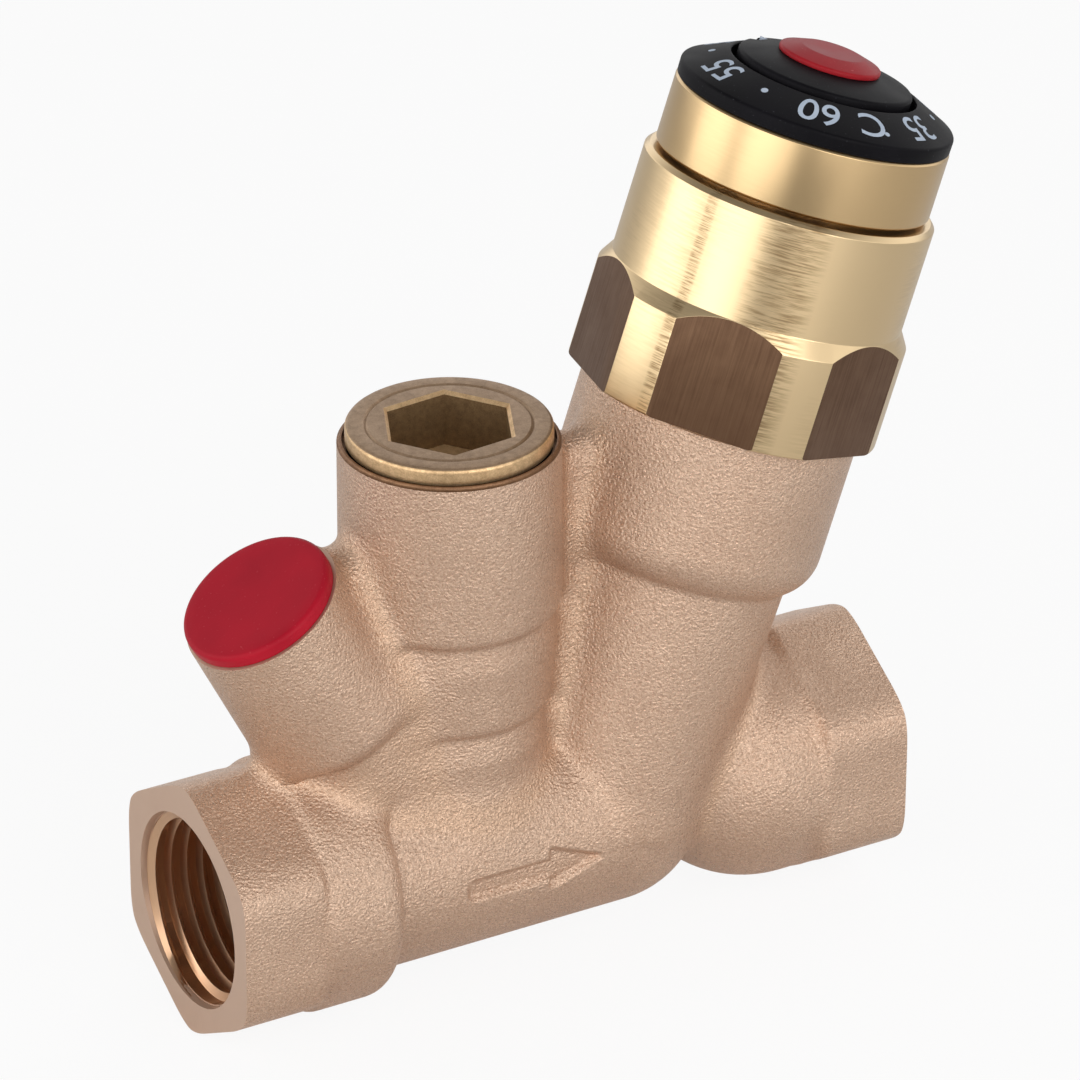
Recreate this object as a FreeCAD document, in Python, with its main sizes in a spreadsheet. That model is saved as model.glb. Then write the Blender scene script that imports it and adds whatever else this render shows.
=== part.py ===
import FreeCAD, Part
import math
import os
import re
import Sketcher

# Circulation valve for a hot-water loop, DN 15, in millimetres.
# X runs through the valve from the inlet face, Z is up, and Y = 0 is the casting's plane of symmetry.
# Four turned axes lie in that plane: the run (X), the branch, the port and the pocket.

SIZES = {
    # Run: the straight way from the inlet hexagon to the outlet hexagon
    "face_to_face": 78.0,
    "hex_flats": 25.6,
    "hex_corner_diameter": 28.2,
    "hex_length": 9.6,
    "inlet_collar_diameter": 26.9,
    "inlet_collar_length": 6.6,
    "inlet_collar_round": 2.4,
    "run_diameter": 22.5,
    "outlet_collar_diameter": 25.8,
    "outlet_collar_length": 2.5,
    "outlet_bulge_round": 14.0,
    "outlet_bulge_length": 11.0,
    # Branch: the slanted tube that carries the bonnet
    "branch_place": 47.75,
    "branch_tilt": 19.0,
    "branch_neck_diameter": 24.4,
    "collar_diameter": 29.3,
    "collar_round": 4.5,
    "collar_straight": 13.2,
    "collar_top": 45.0,
    # Port: the upright boss that the hexagon-socket plug closes
    "port_place": 30.5,
    "port_rim_wall": 0.5,
    "port_top": 46.0,
    "port_upper_step": 27.4,
    "port_middle_diameter": 21.3,
    "port_lower_step": 16.6,
    "port_foot_diameter": 19.4,
    "port_root_diameter": 16.0,
    "port_draft": 0.5,
    "port_step_round": 1.2,
    # Pocket: the leaning boss for a thermometer
    "pocket_place": 27.8,
    "pocket_tilt": 30.0,
    "pocket_top": 37.6,
    "pocket_rim_diameter": 16.7,
    "pocket_foot_diameter": 18.2,
    "pocket_foot": 22.5,
    "pocket_foot_round": 2.0,
    "pocket_neck_diameter": 15.2,
    # Webs between the bosses, and the casting's soft corners
    "branch_web_top": 4.4,
    "branch_web_foot": 7.6,
    "branch_web_drop": 3.0,
    "branch_web_shoulder": 14.0,
    "pocket_web_top": 5.4,
    "pocket_web_foot": 14.6,
    "pocket_web_drop": 0.7,
    "pocket_web_rise": 1.4,
    "pocket_web_shoulder": 22.5,
    "web_bite": 1.5,
    # Waterways
    "thread_bore": 18.6,
    "thread_length": 14.0,
    "thread_mouth": 20.6,
    "thread_mouth_depth": 0.5,
    "waterway_diameter": 15.0,
    "lower_chamber_diameter": 13.0,
    "lower_chamber_depth": 7.0,
    "seat_height": 5.0,
    "seat_bore": 11.0,
    "seat_throat": 3.0,
    "upper_chamber_diameter": 18.8,
    "outlet_passage_diameter": 10.0,
    "outlet_passage_tilt": 43.0,
    "bonnet_thread_diameter": 25.0,
    "bonnet_thread_length": 11.0,
    "port_thread_diameter": 16.6,
    "port_thread_length": 12.0,
    "port_recess_depth": 0.9,
    "bypass_chamber_diameter": 15.2,
    "bypass_seat_height": 19.0,
    "bypass_bore": 8.0,
    "crossover_diameter": 3.0,
    "crossover_rise": 4.0,
    "pocket_bore": 13.0,
    "pocket_depth": 14.0,
    # Flow arrow let into the side of the run
    "arrow_start": 26.5,
    "arrow_length": 15.6,
    "arrow_head_length": 6.0,
    "arrow_head_width": 4.8,
    "arrow_shaft_width": 2.2,
    "arrow_depth": 0.5,
    # Bonnet, turned from hexagon bar
    "bonnet_flats": 30.8,
    "bonnet_corner_diameter": 32.8,
    "bonnet_clocking": 18.0,
    "bonnet_hex_height": 10.6,
    "bonnet_chamfer_height": 1.7,
    "bonnet_drum_diameter": 30.7,
    "bonnet_drum_bevel": 0.5,
    "bonnet_height": 23.9,
    "bonnet_bore": 20.0,
    "crown_thickness": 9.4,
    "bonnet_seal_thickness": 0.5,
    "boss_diameter": 18.0,
    "key_width": 3.0,
    "key_rise": 0.8,
    # Scale ring carrier, dial ring and index disc
    "carrier_diameter": 28.9,
    "carrier_gap": 0.4,
    "carrier_height": 7.3,
    "carrier_floor": 3.0,
    "carrier_wall": 2.6,
    "carrier_bevel": 0.3,
    "dial_diameter": 28.8,
    "dial_side_height": 1.5,
    "dial_cone_height": 2.3,
    "dial_hole": 19.5,
    "dial_spigot_length": 2.6,
    "disc_diameter": 18.3,
    "disc_rise": 0.5,
    "disc_crown": 0.95,
    "disc_thickness": 2.6,
    "disc_hub_diameter": 12.0,
    "disc_hub_length": 4.5,
    "disc_round": 0.4,
    "notch_width": 1.8,
    "notch_depth": 1.4,
    "pointer_angle": 115.4,
    "cap_diameter": 10.7,
    "cap_rim": 0.55,
    "cap_height": 1.25,
    "cap_crown_diameter": 6.5,
    "cap_wall": 0.8,
    "cap_plug_diameter": 8.4,
    "cap_plug_length": 1.2,
    "screw_head_diameter": 7.6,
    "screw_head_height": 1.4,
    "screw_diameter": 4.0,
    "screw_length": 7.0,
    "screw_socket": 2.5,
    "screw_socket_depth": 1.0,
    # Setting spindle
    "stem_diameter": 9.0,
    "stem_rise": 2.2,
    "journal_diameter": 6.8,
    "spindle_flange_diameter": 15.0,
    "spindle_flange_thickness": 2.0,
    "washer_thickness": 0.8,
    "spindle_thread": 8.0,
    "spindle_thread_length": 11.5,
    "seal_groove_depth": 1.4,
    "seal_groove_width": 1.8,
    "seal_spacing": 3.4,
    # Spring sleeve and what it carries
    "sleeve_recess": 1.5,
    "sleeve_length": 17.0,
    "sleeve_wall": 1.65,
    "sleeve_crown": 3.0,
    "sleeve_boss_diameter": 11.2,
    "sleeve_boss_length": 4.0,
    "ring_lip": 0.4,
    "ring_thickness": 0.8,
    "ring_bore": 14.4,
    "ring_bite": 0.5,
    "ring_opening": 5.0,
    "plate_thickness": 1.6,
    "piston_diameter": 3.9,
    "piston_socket": 0.8,
    "overtravel_spring_diameter": 14.0,
    "overtravel_wire": 1.5,
    "overtravel_turns": 3,
    # Control cone with its wax element
    "thread_pitch": 1.5,
    "turn_down": 180.0,
    "element_stroke": 2.2,
    "closing_gap": 0.15,
    "cone_diameter": 14.4,
    "cone_disc": 3.0,
    "cone_cup_wall": 1.6,
    "cone_height": 16.0,
    "cone_tail_diameter": 6.2,
    "cone_tail_length": 2.5,
    "cone_fin_width": 2.0,
    "cone_fin_height": 6.0,
    "cone_seal_inner": 9.4,
    "cone_seal_outer": 13.4,
    "cone_seal_thickness": 1.3,
    "cone_seal_proud": 0.1,
    "element_diameter": 9.2,
    "element_depth": 9.8,
    "element_flange": 12.4,
    "element_flange_thickness": 2.0,
    "element_neck": 7.2,
    "element_neck_length": 8.0,
    "element_bore_floor": 3.5,
    "piston_end_gap": 0.2,
    "return_spring_diameter": 7.8,
    "return_wire": 0.8,
    "return_turns": 4,
    # Port plug with the bypass cone below it
    "plug_flange_land": 2.2,
    "plug_flange_thickness": 2.0,
    "plug_bevel": 0.35,
    "plug_length": 11.7,
    "plug_socket": 12.0,
    "plug_socket_depth": 6.0,
    "plug_socket_bevel": 0.5,
    "plug_clocking": 5.0,
    "plug_ring_land": 0.7,
    "plug_ring_width": 0.5,
    "plug_ring_depth": 0.2,
    "gasket_thickness": 0.6,
    "bypass_seal_diameter": 11.6,
    "bypass_seal_thickness": 1.5,
    "bypass_cone_diameter": 12.4,
    "bypass_cone_height": 2.5,
    "bypass_stem_diameter": 5.0,
    "bypass_stem_length": 13.5,
    "bypass_lift": 2.0,
    "bypass_guide_depth": 5.5,
    "bypass_spring_diameter": 8.6,
    "bypass_wire": 0.9,
    "bypass_turns": 3,
    # Pocket plug
    "pocket_plug_diameter": 16.2,
    "pocket_plug_rim": 1.5,
    "pocket_plug_bevel": 0.4,
    "pocket_plug_length": 9.0,
    "pocket_plug_wall": 1.2,
    # Clearances, each on the radius
    "thread_play": 0.05,
    "running_play": 0.05,
    "sliding_play": 0.15,
    "push_play": 0.02,
    "loose_play": 0.3,
}

# Places worked out from the sizes. s is the height along the branch axis, z the height of the port.
PLACES = {
    "outlet_hex_start": "face_to_face - hex_length",
    "inlet_collar_end": "hex_length + inlet_collar_length",
    "inlet_collar_step": "(inlet_collar_diameter - run_diameter) / 2",
    "inlet_round_length": "sqrt(2 * inlet_collar_round * inlet_collar_step - inlet_collar_step^2)",
    "bulge_start": "outlet_hex_start - outlet_collar_length",
    "bulge_drop": "outlet_bulge_round - sqrt(outlet_bulge_round^2 - outlet_bulge_length^2)",
    "collar_shoulder": "collar_top - collar_straight",
    "collar_step": "(collar_diameter - branch_neck_diameter) / 2",
    "collar_round_height": "sqrt(2 * collar_round * collar_step - collar_step^2)",
    "pocket_step": "(pocket_foot_diameter - pocket_neck_diameter) / 2",
    "pocket_foot_rise": "sqrt(2 * pocket_foot_round * pocket_step - pocket_step^2)",
    "collar_floor": "collar_top - bonnet_thread_length",
    "spigot_end": "collar_floor + bonnet_seal_thickness",
    "plug_flange_diameter": "port_thread_diameter + 2 * plug_flange_land",
    "port_diameter": "plug_flange_diameter + 2 * (loose_play + port_rim_wall)",
    "port_recess_floor": "port_top - port_recess_depth",
    "port_thread_end": "port_recess_floor - port_thread_length",
    "plug_underside": "port_recess_floor + gasket_thickness",
    "plug_top": "plug_underside + plug_flange_thickness",
    "plug_end": "plug_underside - plug_length",
    "plug_ring_radius": "(plug_socket + 2 * plug_socket_bevel) / sqrt(3) + plug_ring_land",
    "hex_top": "collar_top + bonnet_hex_height",
    "drum_bottom": "hex_top + bonnet_chamfer_height",
    "bonnet_top": "collar_top + bonnet_height",
    "crown_underside": "bonnet_top - crown_thickness",
    "land_top": "bonnet_top + carrier_gap",
    "boss_top": "land_top + carrier_floor",
    "carrier_top": "land_top + carrier_height",
    "carrier_bore": "carrier_diameter - 2 * carrier_wall",
    "dial_shoulder": "carrier_top + dial_side_height",
    "dial_top": "dial_shoulder + dial_cone_height",
    "shoulder": "boss_top + stem_rise",
    "disc_rim": "dial_top + disc_rise",
    "disc_top": "disc_rim + disc_crown",
    "disc_underside": "disc_rim - disc_thickness",
    "disc_floor": "shoulder + disc_hub_length",
    "screw_top": "disc_floor + screw_head_height",
    "flange_top": "crown_underside - washer_thickness",
    "flange_underside": "flange_top - spindle_flange_thickness",
    "spindle_end": "flange_underside - spindle_thread_length",
    "sleeve_diameter": "bonnet_bore - 2 * sliding_play",
    "sleeve_bore": "sleeve_diameter - 2 * sleeve_wall",
    "sleeve_bottom": "spigot_end + sleeve_recess",
    "sleeve_top": "sleeve_bottom + sleeve_length",
    "sleeve_roof": "sleeve_top - sleeve_crown",
    "ring_bottom": "sleeve_bottom + ring_lip",
    "plate_bottom": "ring_bottom + ring_thickness",
    "plate_top": "plate_bottom + plate_thickness",
    "setting_drop": "thread_pitch * turn_down / 360",
    "cone_lift": "closing_gap + element_stroke + setting_drop",
    "seal_face": "seat_height + cone_lift",
    "cone_face": "seal_face + cone_seal_proud",
    "cone_top": "cone_face + cone_height",
    "flange_of_element": "cone_top + element_flange_thickness",
    "element_top": "flange_of_element + element_neck_length",
    "element_floor": "cone_top + element_bore_floor",
    "piston_top": "plate_bottom + piston_socket",
    "piston_bottom": "element_floor + piston_end_gap",
    "bypass_cone_bottom": "bypass_seat_height + bypass_seal_thickness",
    "bypass_cone_top": "bypass_cone_bottom + bypass_cone_height",
    "bypass_stem_top": "bypass_cone_top + bypass_stem_length",
}

DOC = FreeCAD.newDocument("circulation_valve")
SHEET = DOC.addObject("Spreadsheet::Sheet", "sizes")
for row, (alias, size) in enumerate(SIZES.items(), 1):
    SHEET.set(f"A{row}", alias)
    SHEET.set(f"B{row}", str(size))
    SHEET.setAlias(f"B{row}", alias)
DOC.recompute()

PIECES = []


def bound(formula):
    """Write a formula in plain names as an expression that reads the sheet."""

    def read(word):
        name = word.group(0)
        if name in PLACES:
            return "(" + bound(PLACES[name]) + ")"
        return "sizes." + name if name in SIZES else name

    return re.sub(r"[a-z_]+", read, formula)


def value(formula):
    """Work out a formula from the sheet."""
    return float(SHEET.evalExpression(bound(formula)))


def bind(thing, **formulas):
    """Bind properties of an object to formulas."""
    for name, formula in formulas.items():
        thing.setExpression(name, bound(formula))
    return thing


def set_down(thing, base=("0", "0", "0"), axis=(0, 1, 0), angle="0"):
    """Place an object, with its base point and its turn about one axis bound to formulas."""
    turn = "create(<<rotation>>; create(<<vector>>; {}; {}; {}); {})".format(*axis, bound(angle))
    point = "create(<<vector>>; {}; {}; {})".format(*(bound(part) for part in base))
    thing.setExpression("Placement", f"create(<<placement>>; {point}; {turn})")
    return thing


def on_run(thing):
    """Lay an object's own Z axis along the run."""
    return set_down(thing, angle="90")


def on_branch(thing):
    """Stand an object on the branch axis."""
    return set_down(thing, base=("branch_place", "0", "0"), angle="branch_tilt")


def on_port(thing):
    """Stand an object on the port axis."""
    return set_down(thing, base=("port_place", "0", "0"))


def on_pocket(thing):
    """Stand an object on the pocket axis."""
    return set_down(thing, base=("pocket_place", "0", "0"), angle="-pocket_tilt")


def piece(thing, label):
    """Name a finished sub-part, so that it is checked and written."""
    thing.Label = label
    PIECES.append(thing)
    return thing


def new_body(name, plane):
    """Start a body with one sketch on one of its own origin planes."""
    body = DOC.addObject("PartDesign::Body", name)
    sketch = body.newObject("Sketcher::SketchObject", name + "_outline")
    support = [feature for feature in body.Origin.OriginFeatures if feature.Role == plane]
    sketch.AttachmentSupport = (support[0], [""])
    sketch.MapMode = "FlatFace"
    return body, sketch


def pin_point(sketch, edge, corner, point):
    """Hold one corner of a sketch at a bound place."""
    for kind, axis, formula in zip(("DistanceX", "DistanceY"), (-2, -1), point):
        size = value(formula)
        if abs(size) < 1e-9:
            sketch.addConstraint(Sketcher.Constraint("PointOnObject", edge, corner, axis))
            continue
        index = sketch.addConstraint(Sketcher.Constraint(kind, -1, 1, edge, corner, size))
        sketch.setExpression(f"Constraints[{index}]", bound(formula))


def arc_edge(start, end, radius):
    """Arc from start to end that bulges to the left of its chord for a positive radius."""
    chord = end - start
    left = FreeCAD.Vector(-chord.y, chord.x, 0).normalize()
    reach = math.sqrt(radius**2 - (chord.Length / 2) ** 2)
    side = math.copysign(1, radius)
    centre = (start + end) / 2 - left * side * reach
    middle = centre + left * side * abs(radius)
    return Part.Arc(start, middle, end)


def draw(sketch, outline):
    """Draw a closed outline. A corner with a third item starts an arc of that radius to the next corner."""
    corners = [FreeCAD.Vector(value(corner[0]), value(corner[1]), 0) for corner in outline]
    ends = []
    for index, corner in enumerate(outline):
        start, end = corners[index], corners[(index + 1) % len(corners)]
        if len(corner) == 2:
            sketch.addGeometry(Part.LineSegment(start, end), False)
            ends.append((1, 2))
            continue
        arc = arc_edge(start, end, corner[2][1] * value(corner[2][0]))
        edge = sketch.addGeometry(arc, False)
        ends.append((1, 2) if sketch.getPoint(edge, 1).isEqual(start, 1e-6) else (2, 1))
    for index, corner in enumerate(outline):
        before = (index - 1) % len(outline)
        joint = Sketcher.Constraint("Coincident", before, ends[before][1], index, ends[index][0])
        sketch.addConstraint(joint)
        pin_point(sketch, index, ends[index][0], corner[:2])
        if len(corner) == 3:
            radius = sketch.addConstraint(Sketcher.Constraint("Radius", index, value(corner[2][0])))
            sketch.setExpression(f"Constraints[{radius}]", bound(corner[2][0]))


def turned(name, outline):
    """Turn a closed outline of (radius, height) corners about the body's own Z axis."""
    body, sketch = new_body(name, "XZ_Plane")
    draw(sketch, outline)
    turn = body.newObject("PartDesign::Revolution", name + "_turn")
    turn.Profile = sketch
    turn.ReferenceAxis = (sketch, ["V_Axis"])
    turn.Angle = 360
    return body


def ring(name, inner, outer, low, high):
    """Turn a plain ring or, with no inner radius, a disc."""
    return turned(name, [(inner, low), (outer, low), (outer, high), (inner, high)])


def slab(name, plane, outline, thickness):
    """Pad a closed outline evenly to both sides of its plane."""
    body, sketch = new_body(name, plane)
    draw(sketch, outline)
    pad = body.newObject("PartDesign::Pad", name + "_pad")
    pad.Profile = sketch
    pad.SideType = "Symmetric"
    bind(pad, Length=thickness)
    return body


def hex_bar(name, flats, low, high, clocking="0"):
    """Hexagon bar along Z, with a corner turned by the clocking angle from X."""
    bar = DOC.addObject("Part::Prism", name)
    bar.Polygon = 6
    bind(bar, Circumradius=f"({flats}) / sqrt(3)", Height=f"({high}) - ({low})")
    return set_down(bar, base=("0", "0", low), axis=(0, 0, 1), angle=clocking)


def block(name, length, width, height, base, angle="0"):
    """Box centred across Y, set at a base point and turned about Z."""
    box = DOC.addObject("Part::Box", name)
    bind(box, Length=length, Width=width, Height=height)
    start, rise = base
    along = f"({start}) * cos({angle}) + ({width}) / 2 * sin({angle})"
    across = f"({start}) * sin({angle}) - ({width}) / 2 * cos({angle})"
    return set_down(box, base=(along, across, rise), axis=(0, 0, 1), angle=angle)


def rod(name, diameter, length):
    """Plain cylinder along Z."""
    cylinder = DOC.addObject("Part::Cylinder", name)
    return bind(cylinder, Radius=f"({diameter}) / 2", Height=length)


def fuse(name, things):
    """Fuse several objects into one."""
    union = DOC.addObject("Part::MultiFuse", name)
    union.Shapes = things
    union.Refine = True
    return union


def cut(name, base, tool):
    """Cut one object out of another."""
    difference = DOC.addObject("Part::Cut", name)
    difference.Base = base
    difference.Tool = tool
    difference.Refine = True
    return difference


def common(name, things):
    """Keep what several objects share."""
    shared = DOC.addObject("Part::MultiCommon", name)
    shared.Shapes = things
    return shared


def bevel(name, base, width, wanted):
    """Chamfer the edges that a test picks, all with one width."""
    DOC.recompute()
    bevelled = DOC.addObject("Part::Chamfer", name)
    bevelled.Base = base
    size = value(width)
    picked = [number for number, edge in enumerate(base.Shape.Edges, 1) if wanted(edge)]
    bevelled.Edges = [(number, size, size) for number in picked]
    return bevelled


def lies_at(edge, height):
    """Say whether an edge lies flat at one height."""
    box = edge.BoundBox
    return abs(box.ZMin - height) < 1e-6 and abs(box.ZMax - height) < 1e-6


def coil(name, diameter, wire, low, high, turns):
    """Spring of tilted half rings, each tangent to the next, drawn with six flats on its wire."""
    mean, thick, bottom, top, count = (value(item) for item in (diameter, wire, low, high, turns))
    mean = mean / 2
    bottom = bottom + thick / 2
    rise = (top - thick / 2 - bottom) / (2 * count)
    halves = []
    for index in range(2 * int(count)):
        side = 1 - 2 * (index % 2)
        start = FreeCAD.Vector(side * mean, 0, bottom + index * rise)
        middle = FreeCAD.Vector(0, 0, bottom + (index + 0.5) * rise)
        corners = []
        for flat in range(6):
            angle = math.radians(60 * flat + 30)
            reach = FreeCAD.Vector(math.cos(angle), 0, math.sin(angle)) * thick / 2
            corners.append(start + reach)
        section = Part.Face(Part.makePolygon(corners + corners[:1]))
        axis = (start - middle).cross(FreeCAD.Vector(0, side, 0))
        halves.append(section.revolve(middle, axis, 180))
    spring = DOC.addObject("Part::Feature", name)
    spring.Shape = halves[0].multiFuse(halves[1:]).Solids[0]
    return spring


def run_solids():
    """Hexagon ends with turned corners, inlet collar, pipe and outlet bulge, all along the run."""
    inlet = turned("inlet_run", [
        ("0", "hex_length"),
        ("inlet_collar_diameter / 2", "hex_length"),
        ("inlet_collar_diameter / 2", "inlet_collar_end", ("inlet_collar_round", -1)),
        ("run_diameter / 2", "inlet_collar_end + inlet_round_length"),
        ("run_diameter / 2", "branch_place"),
        ("0", "branch_place"),
    ])
    outlet = turned("outlet_run", [
        ("0", "bulge_start - outlet_bulge_length"),
        ("outlet_collar_diameter / 2 - bulge_drop", "bulge_start - outlet_bulge_length", ("outlet_bulge_round", -1)),
        ("outlet_collar_diameter / 2", "bulge_start"),
        ("outlet_collar_diameter / 2", "outlet_hex_start"),
        ("0", "outlet_hex_start"),
    ])
    solids = [on_run(inlet), on_run(outlet)]
    for end, low, high in (("inlet", "0", "hex_length"), ("outlet", "outlet_hex_start", "face_to_face")):
        bar = hex_bar(end + "_hex_bar", "hex_flats", low, high)
        corners = ring(end + "_hex_corners", "0", "hex_corner_diameter / 2", low, high)
        solids.append(on_run(common(end + "_hex", [bar, corners])))
    return solids


def branch_solids():
    """Ball at the elbow, and the tapered branch tube with its collar."""
    ball = DOC.addObject("Part::Sphere", "elbow")
    bind(ball, Radius="run_diameter / 2")
    tube = turned("branch_tube", [
        ("0", "0"),
        ("run_diameter / 2", "0"),
        ("branch_neck_diameter / 2", "collar_shoulder - collar_round_height", ("collar_round", -1)),
        ("collar_diameter / 2", "collar_shoulder"),
        ("collar_diameter / 2", "collar_top"),
        ("0", "collar_top"),
    ])
    return [on_branch(ball), on_branch(tube)]


def boss_solids():
    """Stepped port boss and the leaning pocket boss."""
    middle = "port_middle_diameter / 2"
    port = turned("port_boss", [
        ("0", "0"),
        ("port_root_diameter / 2", "0"),
        ("port_foot_diameter / 2", "port_lower_step", ("port_step_round", -1)),
        (f"{middle} - port_draft", "port_lower_step + port_step_round"),
        (middle, "port_upper_step", ("port_step_round", -1)),
        ("port_diameter / 2", "port_upper_step + port_step_round"),
        ("port_diameter / 2", "port_top"),
        ("0", "port_top"),
    ])
    pocket = turned("pocket_boss", [
        ("0", "0"),
        ("pocket_neck_diameter / 2", "0"),
        ("pocket_neck_diameter / 2", "pocket_foot - pocket_foot_rise", ("pocket_foot_round", -1)),
        ("pocket_foot_diameter / 2", "pocket_foot"),
        ("pocket_rim_diameter / 2", "pocket_top"),
        ("0", "pocket_top"),
    ])
    return [on_port(port), on_pocket(pocket)]


def web(name, outline, high):
    """Web across the plane of symmetry, drawn by its side view and thinner from its shoulder to its top."""
    foot = f"{name}_foot / 2"
    top = f"{name}_top / 2"
    shoulder = f"{name}_shoulder"
    plate = slab(name + "_plate", "XZ_Plane", outline, f"{name}_foot")
    taper = slab(name + "_taper", "YZ_Plane", [
        (f"-{foot}", "0"),
        (foot, "0"),
        (foot, shoulder),
        (top, high),
        (f"-{top}", high),
        (f"-{foot}", shoulder),
    ], "2 * face_to_face")
    return common(name, [plate, taper])


def web_solids():
    """Webs that tie the port to the branch and to the pocket."""
    lean = "sin(branch_tilt)"
    stand = "cos(branch_tilt)"
    edge_x = f"branch_place + collar_top * {lean} - collar_diameter / 2 * {stand}"
    edge_z = f"collar_top * {stand} + collar_diameter / 2 * {lean}"
    branch_web = web("branch_web", [
        ("port_place", "run_diameter / 2"),
        (f"{edge_x} + web_bite", "run_diameter / 2"),
        (f"{edge_x} + web_bite", f"{edge_z} - web_bite * tan(branch_tilt) - branch_web_drop"),
        ("port_place + port_diameter / 2", "port_top - branch_web_drop"),
        ("port_place", "port_top - branch_web_drop"),
    ], edge_z)
    rim = "(pocket_rim_diameter / 2 - web_bite)"
    rim_x = f"pocket_place - pocket_top * sin(pocket_tilt) + {rim} * cos(pocket_tilt)"
    rim_z = f"pocket_top * cos(pocket_tilt) + {rim} * sin(pocket_tilt) - pocket_web_drop"
    pocket_web = web("pocket_web", [
        ("port_place", "run_diameter / 2"),
        ("port_place", f"{rim_z} + pocket_web_rise"),
        ("port_place - port_diameter / 2", f"{rim_z} + pocket_web_rise"),
        (rim_x, rim_z),
        (rim_x, "run_diameter / 2"),
    ], f"{rim_z} + pocket_web_rise")
    return [branch_web, pocket_web]


def run_bores():
    """Threaded ends with their countersinks, and the straight waterways behind them."""
    past = "web_bite"
    inlet = turned("inlet_bore", [
        ("0", f"-{past}"),
        ("thread_mouth / 2", f"-{past}"),
        ("thread_mouth / 2", "0"),
        ("thread_bore / 2", "thread_mouth_depth"),
        ("thread_bore / 2", "thread_length"),
        ("waterway_diameter / 2", "thread_length"),
        ("waterway_diameter / 2", "branch_place"),
        ("0", "branch_place"),
    ])
    back = "(thread_bore - waterway_diameter) / 2"
    outlet = turned("outlet_bore", [
        ("0", f"face_to_face + {past}"),
        ("thread_mouth / 2", f"face_to_face + {past}"),
        ("thread_mouth / 2", "face_to_face"),
        ("thread_bore / 2", "face_to_face - thread_mouth_depth"),
        ("thread_bore / 2", "face_to_face - thread_length"),
        ("waterway_diameter / 2", f"face_to_face - thread_length - {back}"),
        ("0", f"face_to_face - thread_length - {back}"),
    ])
    passage = rod("outlet_passage", "outlet_passage_diameter", "thread_length + web_bite")
    set_down(passage, base=("face_to_face - thread_length", "0", "0"), angle="-outlet_passage_tilt")
    return [on_run(inlet), on_run(outlet), passage]


def branch_bores():
    """Lower chamber, seat and upper chamber on the branch axis, open to the bonnet thread."""
    chamber = turned("branch_bore", [
        ("0", "-lower_chamber_depth"),
        ("lower_chamber_diameter / 2", "-lower_chamber_depth"),
        ("lower_chamber_diameter / 2", "seat_height - seat_throat"),
        ("seat_bore / 2", "seat_height - seat_throat"),
        ("seat_bore / 2", "seat_height"),
        ("upper_chamber_diameter / 2", "seat_height"),
        ("upper_chamber_diameter / 2", "collar_floor"),
        ("bonnet_thread_diameter / 2", "collar_floor"),
        ("bonnet_thread_diameter / 2", "collar_top + web_bite"),
        ("0", "collar_top + web_bite"),
    ])
    return [on_branch(chamber)]


def boss_bores():
    """Bypass seat and chamber in the port, the crossover to the branch, and the blind dry pocket."""
    port = turned("port_bore", [
        ("0", "0"),
        ("bypass_bore / 2", "0"),
        ("bypass_bore / 2", "bypass_seat_height"),
        ("bypass_chamber_diameter / 2", "bypass_seat_height"),
        ("bypass_chamber_diameter / 2", "port_thread_end"),
        ("port_thread_diameter / 2", "port_thread_end"),
        ("port_thread_diameter / 2", "port_recess_floor"),
        ("plug_flange_diameter / 2 + loose_play", "port_recess_floor"),
        ("plug_flange_diameter / 2 + loose_play", "port_top + web_bite"),
        ("0", "port_top + web_bite"),
    ])
    level = "(bypass_seat_height + crossover_rise)"
    crossover = rod("crossover", "crossover_diameter", f"branch_place + {level} * tan(branch_tilt) - port_place")
    set_down(crossover, base=("port_place", "0", level), angle="90")
    pocket = ring("pocket_bore", "0", "pocket_bore / 2", "pocket_top - pocket_depth", "pocket_top + web_bite")
    return [on_port(port), crossover, on_pocket(pocket)]


def flow_arrow():
    """Shallow arrow that follows the round of the run, on the side that faces -Y."""
    shaft = "arrow_shaft_width / 2"
    head = "arrow_head_width / 2"
    neck = "arrow_start + arrow_length - arrow_head_length"
    shape = slab("arrow_shape", "XZ_Plane", [
        ("arrow_start", f"-{shaft}"),
        (neck, f"-{shaft}"),
        (neck, f"-{head}"),
        ("arrow_start + arrow_length", "0"),
        (neck, head),
        (neck, shaft),
        ("arrow_start", shaft),
    ], "run_diameter / 2")
    set_down(shape, base=("0", "-run_diameter / 2", "0"))
    skin = ring("arrow_skin", "run_diameter / 2 - arrow_depth", "run_diameter / 2 + arrow_depth",
                "arrow_start - arrow_depth", "arrow_start + arrow_length + arrow_depth")
    return common("flow_arrow", [shape, on_run(skin)])


def valve_body():
    """Bronze casting: all its outer forms fused, then every bore cut."""
    casting = fuse("casting", run_solids() + branch_solids() + boss_solids() + web_solids())
    bores = fuse("bores", run_bores() + branch_bores() + boss_bores() + [flow_arrow()])
    piece(cut("valve_body_solid", casting, bores), "valve_body")


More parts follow.
